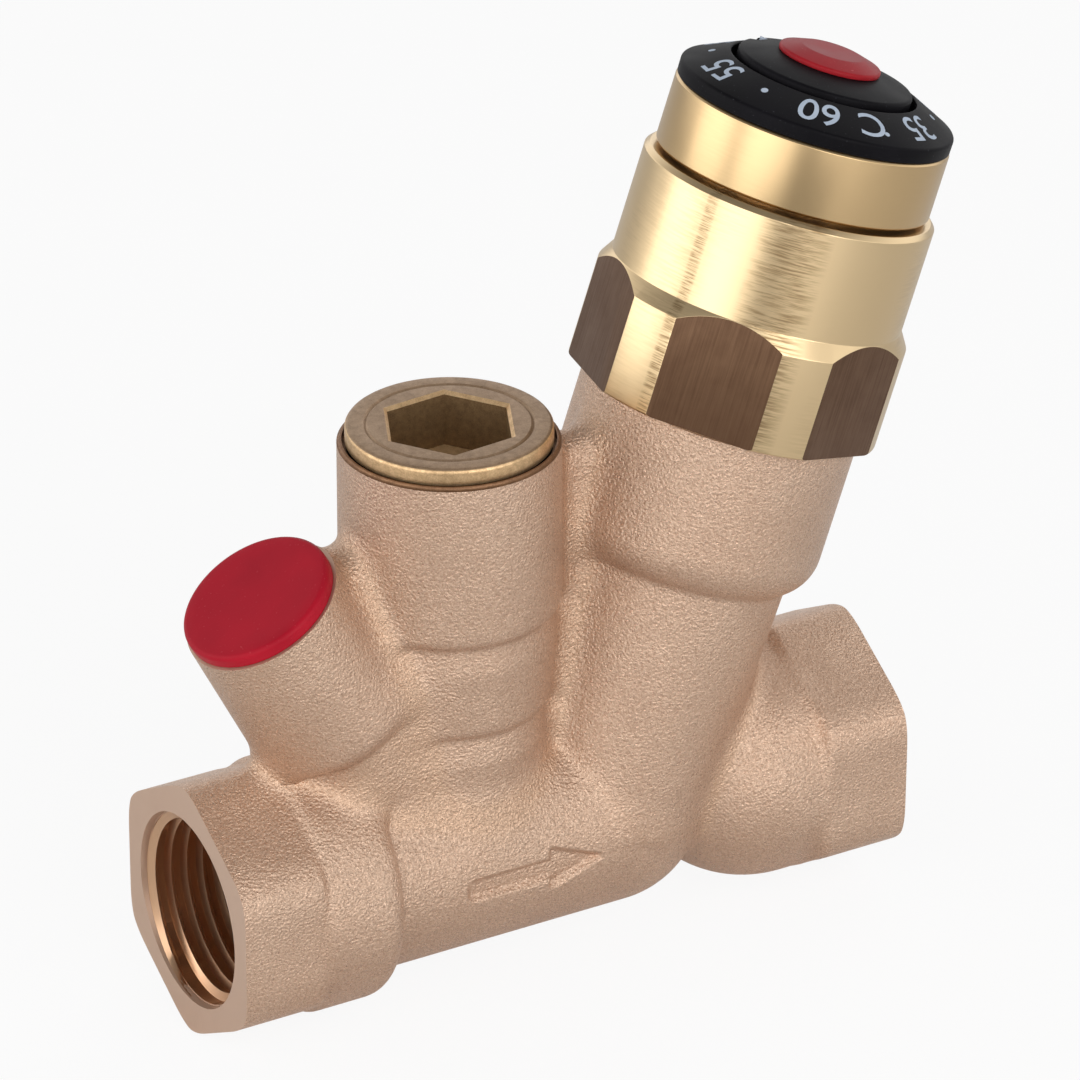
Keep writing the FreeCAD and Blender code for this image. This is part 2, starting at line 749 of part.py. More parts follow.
def bonnet():
    """Bonnet turned from hexagon bar, with two keyways for the sleeve, and its flat seal below."""
    spigot = "bonnet_thread_diameter / 2 - thread_play"
    blank = turned("bonnet_blank", [
        ("bonnet_bore / 2", "spigot_end"),
        (spigot, "spigot_end"),
        (spigot, "collar_top"),
        ("bonnet_corner_diameter / 2", "collar_top"),
        ("bonnet_corner_diameter / 2", "hex_top"),
        ("bonnet_drum_diameter / 2", "drum_bottom"),
        ("bonnet_drum_diameter / 2", "bonnet_top - bonnet_drum_bevel"),
        ("bonnet_drum_diameter / 2 - bonnet_drum_bevel", "bonnet_top"),
        ("boss_diameter / 2 + carrier_wall", "bonnet_top"),
        ("boss_diameter / 2 + carrier_wall", "land_top"),
        ("boss_diameter / 2", "land_top"),
        ("boss_diameter / 2", "boss_top"),
        ("stem_diameter / 2 + running_play", "boss_top"),
        ("stem_diameter / 2 + running_play", "crown_underside"),
        ("bonnet_bore / 2", "crown_underside"),
    ])
    bar = hex_bar("bonnet_bar", "bonnet_flats", "spigot_end", "boss_top", "bonnet_clocking")
    slot_width = "key_width + 2 * sliding_play"
    slot_reach = "bonnet_bore + 2 * (key_rise + sliding_play)"
    keyway = block("keyways", slot_reach, slot_width, "crown_underside - spigot_end",
                   (f"-({slot_reach}) / 2", "spigot_end"))
    shell = cut("bonnet_solid", common("bonnet_form", [blank, bar]), keyway)
    piece(on_branch(shell), "bonnet")
    seal = ring("bonnet_seal_ring", "bonnet_bore / 2", f"{spigot} - sliding_play", "collar_floor", "spigot_end")
    piece(on_branch(seal), "bonnet_seal")


def scale_head():
    """Brass carrier pressed on the bonnet's boss, and the dial ring pressed into the carrier."""
    outer = "carrier_diameter / 2"
    carrier = turned("carrier_cup", [
        ("boss_diameter / 2 + push_play", "land_top"),
        (f"{outer} - carrier_bevel", "land_top"),
        (outer, "land_top + carrier_bevel"),
        (outer, "carrier_top - carrier_bevel"),
        (f"{outer} - carrier_bevel", "carrier_top"),
        ("carrier_bore / 2", "carrier_top"),
        ("carrier_bore / 2", "boss_top"),
        ("boss_diameter / 2 + push_play", "boss_top"),
    ])
    piece(on_branch(carrier), "scale_carrier")
    dial = turned("dial_form", [
        ("dial_hole / 2", "carrier_top - dial_spigot_length"),
        ("carrier_bore / 2 - push_play", "carrier_top - dial_spigot_length"),
        ("carrier_bore / 2 - push_play", "carrier_top"),
        ("dial_diameter / 2", "carrier_top"),
        ("dial_diameter / 2", "dial_shoulder"),
        ("dial_hole / 2", "dial_top"),
    ])
    piece(on_branch(dial), "dial_ring")


def setting_head():
    """Spindle with its seals and washer, and the index disc, lock screw and cap on top of it."""
    stem = "stem_diameter / 2"
    groove = f"{stem} - seal_groove_depth"
    first = "crown_underside + seal_groove_width"
    outline = [
        ("0", "spindle_end"),
        ("spindle_thread / 2", "spindle_end"),
        ("spindle_thread / 2", "flange_underside"),
        ("spindle_flange_diameter / 2", "flange_underside"),
        ("spindle_flange_diameter / 2", "flange_top"),
        (stem, "flange_top"),
    ]
    grooves = []
    for index in range(2):
        low = f"{first} + {index} * seal_spacing"
        high = f"{low} + seal_groove_width"
        outline += [(stem, low), (groove, low), (groove, high), (stem, high)]
        grooves.append(ring(f"spindle_seal_ring_{index}", f"{groove} + push_play", stem,
                            f"{low} + push_play", f"{high} - push_play"))
    hole = "screw_diameter / 2 + push_play"
    hole_end = "disc_floor - screw_length - loose_play"
    outline += [
        (stem, "shoulder"),
        ("journal_diameter / 2", "shoulder"),
        ("journal_diameter / 2", "disc_floor - loose_play"),
        (hole, "disc_floor - loose_play"),
        (hole, hole_end),
        ("0", hole_end),
    ]
    piece(on_branch(turned("spindle_form", outline)), "setting_spindle")
    piece(on_branch(fuse("spindle_seal_pair", grooves)), "spindle_seals")
    washer = ring("washer_form", f"{stem} + sliding_play", "spindle_flange_diameter / 2",
                  "flange_top", "crown_underside")
    piece(on_branch(washer), "thrust_washer")

    disc = turned("disc_form", [
        ("journal_diameter / 2 + push_play", "shoulder"),
        ("disc_hub_diameter / 2", "shoulder"),
        ("disc_hub_diameter / 2", "disc_underside"),
        ("disc_diameter / 2", "disc_underside"),
        ("disc_diameter / 2", "disc_rim - disc_round"),
        ("disc_diameter / 2 - disc_round", "disc_rim"),
        ("cap_diameter / 2", "disc_top"),
        ("cap_plug_diameter / 2 + push_play", "disc_top"),
        ("cap_plug_diameter / 2 + push_play", "disc_floor"),
        ("journal_diameter / 2 + push_play", "disc_floor"),
    ])
    notch = block("disc_notch", "notch_depth + disc_round", "notch_width", "disc_thickness + disc_rise",
                  ("disc_diameter / 2 - notch_depth", "disc_underside - disc_rise"), "pointer_angle")
    piece(on_branch(cut("disc_solid", disc, notch)), "index_disc")

    head = "screw_head_diameter / 2"
    screw = turned("screw_form", [
        ("0", "disc_floor - screw_length"),
        ("screw_diameter / 2", "disc_floor - screw_length"),
        ("screw_diameter / 2", "disc_floor"),
        (head, "disc_floor"),
        (head, "screw_top"),
        ("0", "screw_top"),
    ])
    socket = hex_bar("screw_socket_bar", "screw_socket", "screw_top - screw_socket_depth", "screw_top + push_play")
    piece(on_branch(cut("screw_solid", screw, socket)), "lock_screw")

    plug_end = "disc_top - cap_plug_length"
    plug = "cap_plug_diameter / 2"
    hollow = f"{plug} - cap_wall"
    cap = turned("cap_form", [
        ("0", "disc_top"),
        (hollow, "disc_top"),
        (hollow, plug_end),
        (plug, plug_end),
        (plug, "disc_top"),
        ("cap_diameter / 2", "disc_top"),
        ("cap_diameter / 2", "disc_top + cap_rim"),
        ("cap_crown_diameter / 2", "disc_top + cap_height"),
        ("0", "disc_top + cap_height"),
    ])
    piece(on_branch(cap), "spindle_cap")


def spring_sleeve():
    """Sleeve that the spindle screws up and down, with its keys, retaining ring, plate and spring."""
    inner = "sleeve_bore / 2"
    groove = f"{inner} + ring_bite"
    boss_end = "sleeve_roof - sleeve_boss_length"
    cup = turned("sleeve_cup", [
        (inner, "sleeve_bottom"),
        ("sleeve_diameter / 2", "sleeve_bottom"),
        ("sleeve_diameter / 2", "sleeve_top"),
        ("spindle_thread / 2 + thread_play", "sleeve_top"),
        ("spindle_thread / 2 + thread_play", boss_end),
        ("sleeve_boss_diameter / 2", boss_end),
        ("sleeve_boss_diameter / 2", "sleeve_roof"),
        (inner, "sleeve_roof"),
        (inner, "plate_bottom"),
        (groove, "plate_bottom"),
        (groove, "ring_bottom"),
        (inner, "ring_bottom"),
    ])
    keys = [
        block(f"sleeve_key_{side}", "sleeve_wall / 2 + key_rise + sliding_play", "key_width", "sleeve_crown * 2",
              ("sleeve_diameter / 2 - sleeve_wall / 2", "sleeve_top - sleeve_crown * 2"), str(side))
        for side in (0, 180)
    ]
    piece(on_branch(fuse("sleeve_solid", [cup] + keys)), "spring_sleeve")
    clip = ring("ring_form", "ring_bore / 2", f"{groove} - push_play", "ring_bottom", "plate_bottom")
    gap = block("ring_gap", "sleeve_diameter / 2", "ring_opening", "ring_thickness", ("0", "ring_bottom"))
    piece(on_branch(cut("ring_solid", clip, gap)), "retaining_ring")

    plate = turned("plate_form", [
        ("0", "piston_top"),
        ("piston_diameter / 2 + push_play", "piston_top"),
        ("piston_diameter / 2 + push_play", "plate_bottom"),
        (f"{inner} - sliding_play", "plate_bottom"),
        (f"{inner} - sliding_play", "plate_top"),
        ("0", "plate_top"),
    ])
    piece(on_branch(plate), "spring_plate")
    piston = ring("piston_form", "0", "piston_diameter / 2", "piston_bottom", "piston_top")
    piece(on_branch(piston), "element_piston")
    spring = coil("overtravel_coil", "overtravel_spring_diameter", "overtravel_wire",
                  "plate_top", "sleeve_roof", "overtravel_turns")
    piece(on_branch(spring), "overtravel_spring")


def control_cone():
    """Cone that closes on the seat, its seal and return spring, and the wax element it carries."""
    cup = "element_diameter / 2 + sliding_play"
    wall = f"{cup} + cone_cup_wall"
    tail = "cone_face - cone_tail_length"
    cup_floor = "cone_top - element_depth - loose_play"
    groove_top = "seal_face + cone_seal_thickness"
    cone = turned("cone_form", [
        ("0", tail),
        ("cone_tail_diameter / 2", tail),
        ("cone_tail_diameter / 2", "cone_face"),
        ("cone_seal_inner / 2 - push_play", "cone_face"),
        ("cone_seal_inner / 2 - push_play", groove_top),
        ("cone_seal_outer / 2 + push_play", groove_top),
        ("cone_seal_outer / 2 + push_play", "cone_face"),
        ("cone_diameter / 2", "cone_face"),
        ("cone_diameter / 2", "cone_face + cone_disc"),
        (wall, "cone_face + cone_disc + cone_diameter / 2 - (" + wall + ")"),
        (wall, "cone_top"),
        (cup, "cone_top"),
        (cup, cup_floor),
        ("0", cup_floor),
    ])
    reach = f"upper_chamber_diameter / 2 - sliding_play - ({cup})"
    fins = [
        block(f"cone_fin_{angle}", f"{reach} - push_play", "cone_fin_width", "cone_fin_height",
              (f"{cup} + push_play", "cone_top - cone_fin_height"), str(angle))
        for angle in (60, 180, 300)
    ]
    piece(on_branch(fuse("cone_solid", [cone] + fins)), "control_cone")
    seal = ring("cone_seal_ring", "cone_seal_inner / 2", "cone_seal_outer / 2", "seal_face", groove_top)
    piece(on_branch(seal), "cone_seal")
    neck = "element_neck / 2"
    hole = "piston_diameter / 2 + running_play"
    element = turned("element_form", [
        ("0", "cone_top - element_depth"),
        ("element_diameter / 2", "cone_top - element_depth"),
        ("element_diameter / 2", "cone_top"),
        ("element_flange / 2", "cone_top"),
        ("element_flange / 2", "flange_of_element"),
        (neck, "flange_of_element"),
        (neck, "element_top"),
        (hole, "element_top"),
        (hole, "element_floor"),
        ("0", "element_floor"),
    ])
    piece(on_branch(element), "wax_element")
    spring = coil("return_coil", "return_spring_diameter", "return_wire",
                  "-lower_chamber_depth", "cone_face", "return_turns")
    piece(on_branch(spring), "return_spring")


def port_closure():
    """Hexagon-socket plug with its gasket, and the bypass cone, seal and spring that it holds down."""
    shank = "port_thread_diameter / 2 - thread_play"
    flange = "plug_flange_diameter / 2"
    guide = "bypass_stem_diameter / 2 + running_play"
    blank = turned("plug_form", [
        ("0", "plug_end + bypass_guide_depth"),
        (guide, "plug_end + bypass_guide_depth"),
        (guide, "plug_end"),
        (shank, "plug_end"),
        (shank, "plug_underside"),
        (flange, "plug_underside"),
        (flange, "plug_top - plug_bevel"),
        (f"{flange} - plug_bevel", "plug_top"),
        ("plug_ring_radius + plug_ring_width", "plug_top"),
        ("plug_ring_radius + plug_ring_width / 2", "plug_top - plug_ring_depth"),
        ("plug_ring_radius", "plug_top"),
        ("0", "plug_top"),
    ])
    socket = hex_bar("plug_socket_bar", "plug_socket", "plug_top - plug_socket_depth",
                     "plug_top + plug_bevel", "plug_clocking")
    drilled = cut("plug_drilled", blank, socket)
    top = value("plug_top")
    plug = bevel("plug_solid", drilled, "plug_socket_bevel",
                 lambda edge: isinstance(edge.Curve, Part.Line) and lies_at(edge, top))
    piece(on_port(plug), "port_plug")
    gasket = ring("gasket_form", f"{shank} + sliding_play", f"{flange} - sliding_play",
                  "port_recess_floor", "plug_underside")
    piece(on_port(gasket), "port_gasket")
    cone = turned("bypass_form", [
        ("0", "bypass_cone_bottom"),
        ("bypass_cone_diameter / 2", "bypass_cone_bottom"),
        ("bypass_cone_diameter / 2", "bypass_cone_top"),
        ("bypass_stem_diameter / 2", "bypass_cone_top"),
        ("bypass_stem_diameter / 2", "bypass_stem_top"),
        ("0", "bypass_stem_top"),
    ])
    piece(on_port(cone), "bypass_cone")
    seal = ring("bypass_seal_disc", "0", "bypass_seal_diameter / 2", "bypass_seat_height", "bypass_cone_bottom")
    piece(on_port(seal), "bypass_seal")
    spring = coil("bypass_coil", "bypass_spring_diameter", "bypass_wire",
                  "bypass_cone_top", "plug_end", "bypass_turns")
    piece(on_port(spring), "bypass_spring")


def pocket_closure():
    """Push-in plug that keeps the empty thermometer pocket clean."""
    shank = "pocket_bore / 2 - push_play"
    hollow = f"{shank} - pocket_plug_wall"
    rim = "pocket_plug_diameter / 2"
    end = "pocket_top - pocket_plug_length"
    plug = turned("pocket_plug_form", [
        ("0", "pocket_top"),
        (hollow, "pocket_top"),
        (hollow, end),
        (shank, end),
        (shank, "pocket_top"),
        (rim, "pocket_top"),
        (rim, "pocket_top + pocket_plug_rim - pocket_plug_bevel"),
        (f"{rim} - pocket_plug_bevel", "pocket_top + pocket_plug_rim"),
        ("0", "pocket_top + pocket_plug_rim"),
    ])
    piece(on_pocket(plug), "pocket_plug")


def write_parts():
    """Check every object, then write each finished piece."""
    DOC.recompute()
    for thing in DOC.Objects:
        if "Invalid" in thing.State or "Error" in thing.State:
            raise RuntimeError(f"{thing.Label} failed: {thing.State}")
    for thing in PIECES:
        if thing.Shape.isNull() or not thing.Shape.isValid():
            raise RuntimeError(f"{thing.Label} has no valid shape")
    os.makedirs("parts", exist_ok=True)
    for thing in PIECES:
        thing.Shape.exportStep(f"parts/{thing.Label}.step")
        print(f"{thing.Label}: {len(thing.Shape.Solids)} solid, {thing.Shape.Volume:.1f} mm3")


valve_body()
bonnet()
scale_head()
setting_head()
spring_sleeve()
control_cone()
port_closure()
pocket_closure()
write_parts()
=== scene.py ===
"""Looks of the circulation valve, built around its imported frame.

Lengths in the classes below are in millimetres, as in the part's own drawing. Meshes are put into the frame,
in metres, when a piece is finished. Four turned axes lie in the plane Y = 0: run, branch, port and pocket.
"""

from __future__ import annotations

import logging
import math
from contextlib import contextmanager
from dataclasses import dataclass, field
from enum import Enum, IntEnum
from functools import cache
from typing import Any, Iterable, Iterator, Sequence

import bmesh
import bpy
import numpy as np
from mathutils import Matrix, Vector

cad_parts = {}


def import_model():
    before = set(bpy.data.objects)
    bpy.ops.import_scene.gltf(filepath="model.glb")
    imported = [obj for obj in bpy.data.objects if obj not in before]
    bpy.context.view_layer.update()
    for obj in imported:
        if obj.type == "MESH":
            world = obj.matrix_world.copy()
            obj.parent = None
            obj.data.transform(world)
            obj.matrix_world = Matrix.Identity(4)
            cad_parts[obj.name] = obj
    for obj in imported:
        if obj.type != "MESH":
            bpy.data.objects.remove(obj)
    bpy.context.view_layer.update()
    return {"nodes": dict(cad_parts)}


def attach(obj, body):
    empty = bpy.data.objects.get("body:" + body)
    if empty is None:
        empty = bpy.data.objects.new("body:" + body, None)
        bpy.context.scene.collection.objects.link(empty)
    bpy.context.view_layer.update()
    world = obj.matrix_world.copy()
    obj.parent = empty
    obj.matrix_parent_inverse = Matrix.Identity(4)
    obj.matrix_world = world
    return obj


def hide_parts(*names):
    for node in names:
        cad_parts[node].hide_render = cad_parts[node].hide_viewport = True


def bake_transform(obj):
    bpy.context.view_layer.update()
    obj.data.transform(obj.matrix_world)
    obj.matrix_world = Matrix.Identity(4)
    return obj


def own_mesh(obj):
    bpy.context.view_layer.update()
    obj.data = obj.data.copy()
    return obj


LOG = logging.getLogger("valve")
MM = 0.001
MERGE = 1e-5
CUT = 1e-9
FAR = 60.0

Colour = tuple[float, float, float]
Corner = tuple[float, ...]


class Body(Enum):
    """Moving bodies of the frame that new pieces ride on."""

    HOUSING = "housing"
    SETTING = "setting"
    SLEEVE = "sleeve"
    PLATE = "plate"
    BYPASS = "bypass"


class Grain(Enum):
    """How a metal surface was made, which sets the direction of its marks."""

    CAST = "cast"
    TURNED = "turned"
    MILLED = "milled"
    PLAIN = "plain"


class CastFace(IntEnum):
    """Material indices of the casting."""

    SKIN = 0
    FACED = 1
    THREAD = 2
    RIM = 3


class BonnetFace(IntEnum):
    """Material indices of the bonnet."""

    TURNED = 0
    FLAT = 1


class PlugFace(IntEnum):
    """Material indices of the port plug."""

    TOP = 0
    EDGE = 1
    SOCKET = 2
    FLOOR = 3


@dataclass(frozen=True)
class TurnedAxis:
    """A turned axis in the plane Y = 0.

    Attributes:
        place: Where the axis starts, along X.
        tilt: Lean from upright towards the outlet, in degrees.
        height: Height of its start above the run's middle.
    """

    place: float
    tilt: float
    height: float = 0.0

    def matrix(self) -> Matrix:
        """Matrix from the axis's own millimetres to the frame."""
        move = Matrix.Translation((self.place * MM, 0.0, self.height * MM))
        turn = Matrix.Rotation(math.radians(self.tilt), 4, "Y")
        return move @ turn @ Matrix.Scale(MM, 4)

    def local(self, places: np.ndarray) -> np.ndarray:
        """Points of the frame, in millimetres, in the axis's own directions."""
        lean = math.radians(self.tilt)
        along, up = places[:, 0] - self.place, places[:, 2] - self.height
        across = along * math.cos(lean) - up * math.sin(lean)
        return np.stack([across, places[:, 1], along * math.sin(lean) + up * math.cos(lean)], axis=1)


RUN = TurnedAxis(0.0, 90.0)
BRANCH = TurnedAxis(47.75, 19.0)
PORT = TurnedAxis(30.5, 0.0)
POCKET = TurnedAxis(27.8, -30.0)
UPRIGHT = TurnedAxis(0.0, 0.0)


# Mesh tools


def bow(start: Vector, end: Vector, radius: float, steps: int) -> list[Vector]:
    """Points between two corners on an arc.

    Args:
        start: First corner.
        end: Last corner.
        radius: Arc radius, positive where the arc bulges to the left of its chord.
        steps: Number of straight steps on the arc.

    Returns:
        The points between the corners, without the corners themselves.
    """
    chord = end - start
    left = Vector((-chord.y, chord.x)).normalized()
    side = math.copysign(1.0, radius)
    reach = math.sqrt(max(radius * radius - chord.length_squared / 4.0, 0.0))
    centre = (start + end) / 2.0 - left * side * reach
    first = start - centre
    sweep = first.angle_signed(end - centre)
    points = []
    for step in range(1, steps):
        turn = Matrix.Rotation(-sweep * step / steps, 2)
        points.append(centre + turn @ first)
    return points


def outline(corners: Sequence[Corner], steps: int = 8) -> list[Vector]:
    """Corners of a profile with their arcs filled in.

    Args:
        corners: (radius, height) pairs, with a third number where an arc of that radius starts.
        steps: Straight steps on each arc.

    Returns:
        The profile as points.
    """
    points: list[Vector] = []
    for index, corner in enumerate(corners):
        start = Vector(corner[:2])
        points.append(start)
        if len(corner) == 3:
            end = Vector(corners[(index + 1) % len(corners)][:2])
            points.extend(bow(start, end, corner[2], steps))
    return points


def rounded(corners: Sequence[Corner], steps: int = 4) -> list[Vector]:
    """Corners of a profile, each with its own small round.

    Args:
        corners: (radius, height) pairs, with a third number where the corner has a round of that radius.
        steps: Straight steps on each round.

    Returns:
        The profile as points.
    """
    points: list[Vector] = []
    count = len(corners)
    for index, corner in enumerate(corners):
        here = Vector(corner[:2])
        if len(corner) == 2:
            points.append(here)
            continue
        back = (Vector(corners[index - 1][:2]) - here).normalized()
        ahead = (Vector(corners[(index + 1) % count][:2]) - here).normalized()
        half = back.angle(ahead) / 2.0
        run = corner[2] / math.tan(half)
        middle = here + (back + ahead).normalized() * corner[2] / math.sin(half)
        first = here + back * run - middle
        sweep = first.angle_signed(here + ahead * run - middle)
        for step in range(steps + 1):
            points.append(middle + Matrix.Rotation(-sweep * step / steps, 2) @ first)
    return points


def turn(bm: bmesh.types.BMesh, profile: Sequence[Vector], axis: TurnedAxis, segments: int,
         closed: bool = False, material: int = 0) -> None:
    """Spin a profile of (radius, height) points about an axis of the casting.

    Args:
        bm: Mesh that takes the new shell.
        profile: Points of the profile; an open profile starts and ends on the axis.
        axis: Axis to turn about.
        segments: Steps of the full turn.
        closed: Whether the last point joins the first, as on a ring.
        material: Material index of the new faces.
    """
    shell = bmesh.new()
    verts = [shell.verts.new((point.x, 0.0, point.y)) for point in profile]
    for pair in zip(verts, verts[1:] + verts[:1] if closed else verts[1:]):
        shell.edges.new(pair)
    bmesh.ops.spin(shell, geom=shell.verts[:] + shell.edges[:], cent=(0, 0, 0), axis=(0, 0, 1),
                   dvec=(0, 0, 0), angle=math.tau, steps=segments, use_merge=True)
    add_shell(bm, shell, axis, material)


def add_shell(bm: bmesh.types.BMesh, shell: bmesh.types.BMesh, axis: TurnedAxis, material: int = 0) -> None:
    """Close a shell, place it in the frame and add it to a mesh.

    Args:
        bm: Mesh that takes the shell.
        shell: Shell in millimetres on its own axis; it is freed.
        axis: Axis that the shell stands on.
        material: Material index of its faces.
    """
    bmesh.ops.remove_doubles(shell, verts=shell.verts, dist=MERGE)
    bmesh.ops.recalc_face_normals(shell, faces=shell.faces)
    for face in shell.faces:
        face.material_index = material
    bmesh.ops.transform(shell, matrix=axis.matrix(), verts=shell.verts)
    scratch = bpy.data.meshes.new("shell")
    shell.to_mesh(scratch)
    shell.free()
    bm.from_mesh(scratch)
    bpy.data.meshes.remove(scratch)


def raise_faces(shell: bmesh.types.BMesh, faces: Sequence[bmesh.types.BMFace], height: float) -> list[Any]:
    """Extrude faces upwards.

    Args:
        shell: Mesh that holds them.
        faces: The faces.
        height: How far they go.

    Returns:
        The points at the top.
    """
    grown = bmesh.ops.extrude_face_region(shell, geom=faces)
    tops = [item for item in grown["geom"] if isinstance(item, bmesh.types.BMVert)]
    bmesh.ops.translate(shell, vec=(0, 0, height), verts=tops)
    return tops


def prism(corners: Sequence[tuple[float, float]], low: float, high: float) -> bmesh.types.BMesh:
    """Upright prism on a flat outline.

    Args:
        corners: Corners of the outline in X and Y.
        low: Height of its foot.
        high: Height of its top.

    Returns:
        The closed prism.
    """
    shell = bmesh.new()
    face = shell.faces.new([shell.verts.new((x, y, low)) for x, y in corners])
    raise_faces(shell, [face], high - low)
    bmesh.ops.recalc_face_normals(shell, faces=shell.faces)
    return shell


def hexagon(flats: float, clocking: float) -> list[tuple[float, float]]:
    """Corners of a hexagon across its flats, with its first corner at a clocking angle in degrees."""
    reach = flats / math.sqrt(3.0)
    turns = [math.radians(clocking + 60.0 * side) for side in range(6)]
    return [(reach * math.cos(angle), reach * math.sin(angle)) for angle in turns]


def arc_run(radius: float, step: float) -> float:
    """Length along the axis that an arc takes up to leave a straight wall by a step."""
    return math.sqrt(2.0 * radius * step - step * step)


def direction(azimuth: float, rise: float) -> Vector:
    """Direction from the object at an angle round it and an angle above the horizon, in degrees."""
    turn_by, height = math.radians(azimuth), math.radians(rise)
    level = math.cos(height)
    return Vector((math.sin(turn_by) * level, -math.cos(turn_by) * level, math.sin(height)))


def ease(share: float) -> float:
    """Share from 0 to 1 that starts and ends softly, held at both ends."""
    held = min(max(share, 0.0), 1.0)
    return held * held * (3.0 - 2.0 * held)


def flat_distance(spots: np.ndarray, corners: Sequence[Vector]) -> np.ndarray:
    """Distances of many points to a flat outline.

    Args:
        spots: The points, one in each row.
        corners: Corners of the outline in order.

    Returns:
        Distance to the nearest side, negative inside.
    """
    nearest = np.full(len(spots), np.inf)
    within = np.zeros(len(spots), dtype=bool)
    for start, end in zip(corners, [*corners[1:], corners[0]]):
        side = np.array(end - start)
        away = spots - np.array(start)
        share = np.clip(away @ side / (side @ side), 0.0, 1.0)
        nearest = np.minimum(nearest, ((away - share[:, None] * side) ** 2).sum(axis=1))
        crossed = (away[:, 1] < 0.0) != (spots[:, 1] < end.y)
        if abs(side[1]) > MERGE:
            within ^= crossed & (away[:, 0] < side[0] * away[:, 1] / side[1])
    return np.where(within, -1.0, 1.0) * np.sqrt(nearest)


def turned_distance(places: np.ndarray, axis: TurnedAxis, profile: Sequence[Vector]) -> np.ndarray:
    """Distances of many points to a turned form, negative inside.

    Args:
        places: The points in millimetres, one in each row.
        axis: Axis of the form.
        profile: Its (radius, height) points, from the axis to the axis.

    Returns:
        One distance for each point.
    """
    own = axis.local(places)
    spots = np.stack([np.hypot(own[:, 0], own[:, 1]), own[:, 2]], axis=1)
    return flat_distance(spots, [Vector((point.x or -FAR, point.y)) for point in profile])


def melt(first: np.ndarray, second: np.ndarray, fillet: float) -> np.ndarray:
    """Distances to two forms joined with a fillet of about the given radius."""
    near = np.maximum(fillet - np.abs(first - second), 0.0)
    return np.minimum(first, second) - near * near / (4.0 * fillet)


def meet(first: np.ndarray, second: np.ndarray, edge: float) -> np.ndarray:
    """Distances to what two forms share, with a round of about the given radius on its edges."""
    return -melt(-first, -second, edge)


def slice_off(shell: bmesh.types.BMesh, point: Sequence[float], normal: Sequence[float]) -> list[Any]:
    """Cut away what lies beyond a plane.

    Args:
        shell: Mesh that is cut.
        point: Point on the plane.
        normal: Direction of the side that goes.

    Returns:
        The edges along the cut.
    """
    geom = shell.verts[:] + shell.edges[:] + shell.faces[:]
    made = bmesh.ops.bisect_plane(shell, geom=geom, dist=CUT, plane_co=point, plane_no=normal,
                                  clear_outer=True)
    return [item for item in made["geom_cut"] if isinstance(item, bmesh.types.BMEdge)]


def new_object(name: str, bm: bmesh.types.BMesh, *finishes: Metal | Plastic) -> bpy.types.Object:
    """Make an object of a mesh, at the origin, with its materials in order, and free the mesh."""
    mesh = bpy.data.meshes.new(name)
    bm.to_mesh(mesh)
    bm.free()
    for finish in finishes:
        mesh.materials.append(finish.material())
    thing = bpy.data.objects.new(name, mesh)
    bpy.context.scene.collection.objects.link(thing)
    return thing


def turned_object(name: str, profile: Sequence[Vector], axis: TurnedAxis, segments: int,
                  *finishes: Metal | Plastic, closed: bool = True) -> bpy.types.Object:
    """Object turned from one profile.

    Args:
        name: Name of the object.
        profile: Points of the profile.
        axis: Axis to turn about.
        segments: Steps of the full turn.
        finishes: Its finishes in order.
        closed: Whether the profile is a ring's.

    Returns:
        The object.
    """
    bm = bmesh.new()
    turn(bm, profile, axis, segments, closed)
    return new_object(name, bm, *finishes)


@contextmanager
def editing(mesh: bpy.types.Mesh) -> Iterator[bmesh.types.BMesh]:
    """Open a mesh for editing and write it back at the end."""
    bm = bmesh.new()
    bm.from_mesh(mesh)
    yield bm
    bm.to_mesh(mesh)
    bm.free()


def even_out(mesh: bpy.types.Mesh) -> None:
    """Move every point of a mesh half-way towards the middle of its neighbours."""
    with editing(mesh) as bm:
        bmesh.ops.smooth_vert(bm, verts=bm.verts, factor=0.5, use_axis_x=True, use_axis_y=True,
                              use_axis_z=True)


def points(mesh: bpy.types.Mesh) -> np.ndarray:
    """Places of a mesh's points, one in each row."""
    places = np.empty(len(mesh.vertices) * 3, dtype=np.float32)
    mesh.vertices.foreach_get("co", places)
    return places.reshape(-1, 3).astype(float)


def bake(thing: bpy.types.Object) -> None:
    """Apply every modifier of an object to its mesh."""
    graph = bpy.context.evaluated_depsgraph_get()
    mesh = bpy.data.meshes.new_from_object(thing.evaluated_get(graph), depsgraph=graph)
    thing.modifiers.clear()
    old = thing.data
    thing.data = mesh
    bpy.data.meshes.remove(old)


def drop(thing: bpy.types.Object) -> None:
    """Remove a helper object and its data."""
    data = thing.data
    bpy.data.objects.remove(thing)
    if isinstance(data, bpy.types.Mesh):
        bpy.data.meshes.remove(data)
    else:
        bpy.data.curves.remove(data)


def carve(thing: bpy.types.Object, cutter: bpy.types.Object, operation: str = "DIFFERENCE") -> None:
    """Cut one object with another, or keep what both share, and remove the cutter.

    Args:
        thing: Object that is shaped.
        cutter: Closed object; its material indices stay on the faces that it leaves.
        operation: Name of the boolean operation.
    """
    modifier = thing.modifiers.new("carve", "BOOLEAN")
    modifier.operation = operation
    modifier.solver = "EXACT"
    modifier.material_mode = "INDEX"
    modifier.object = cutter
    bake(thing)
    drop(cutter)


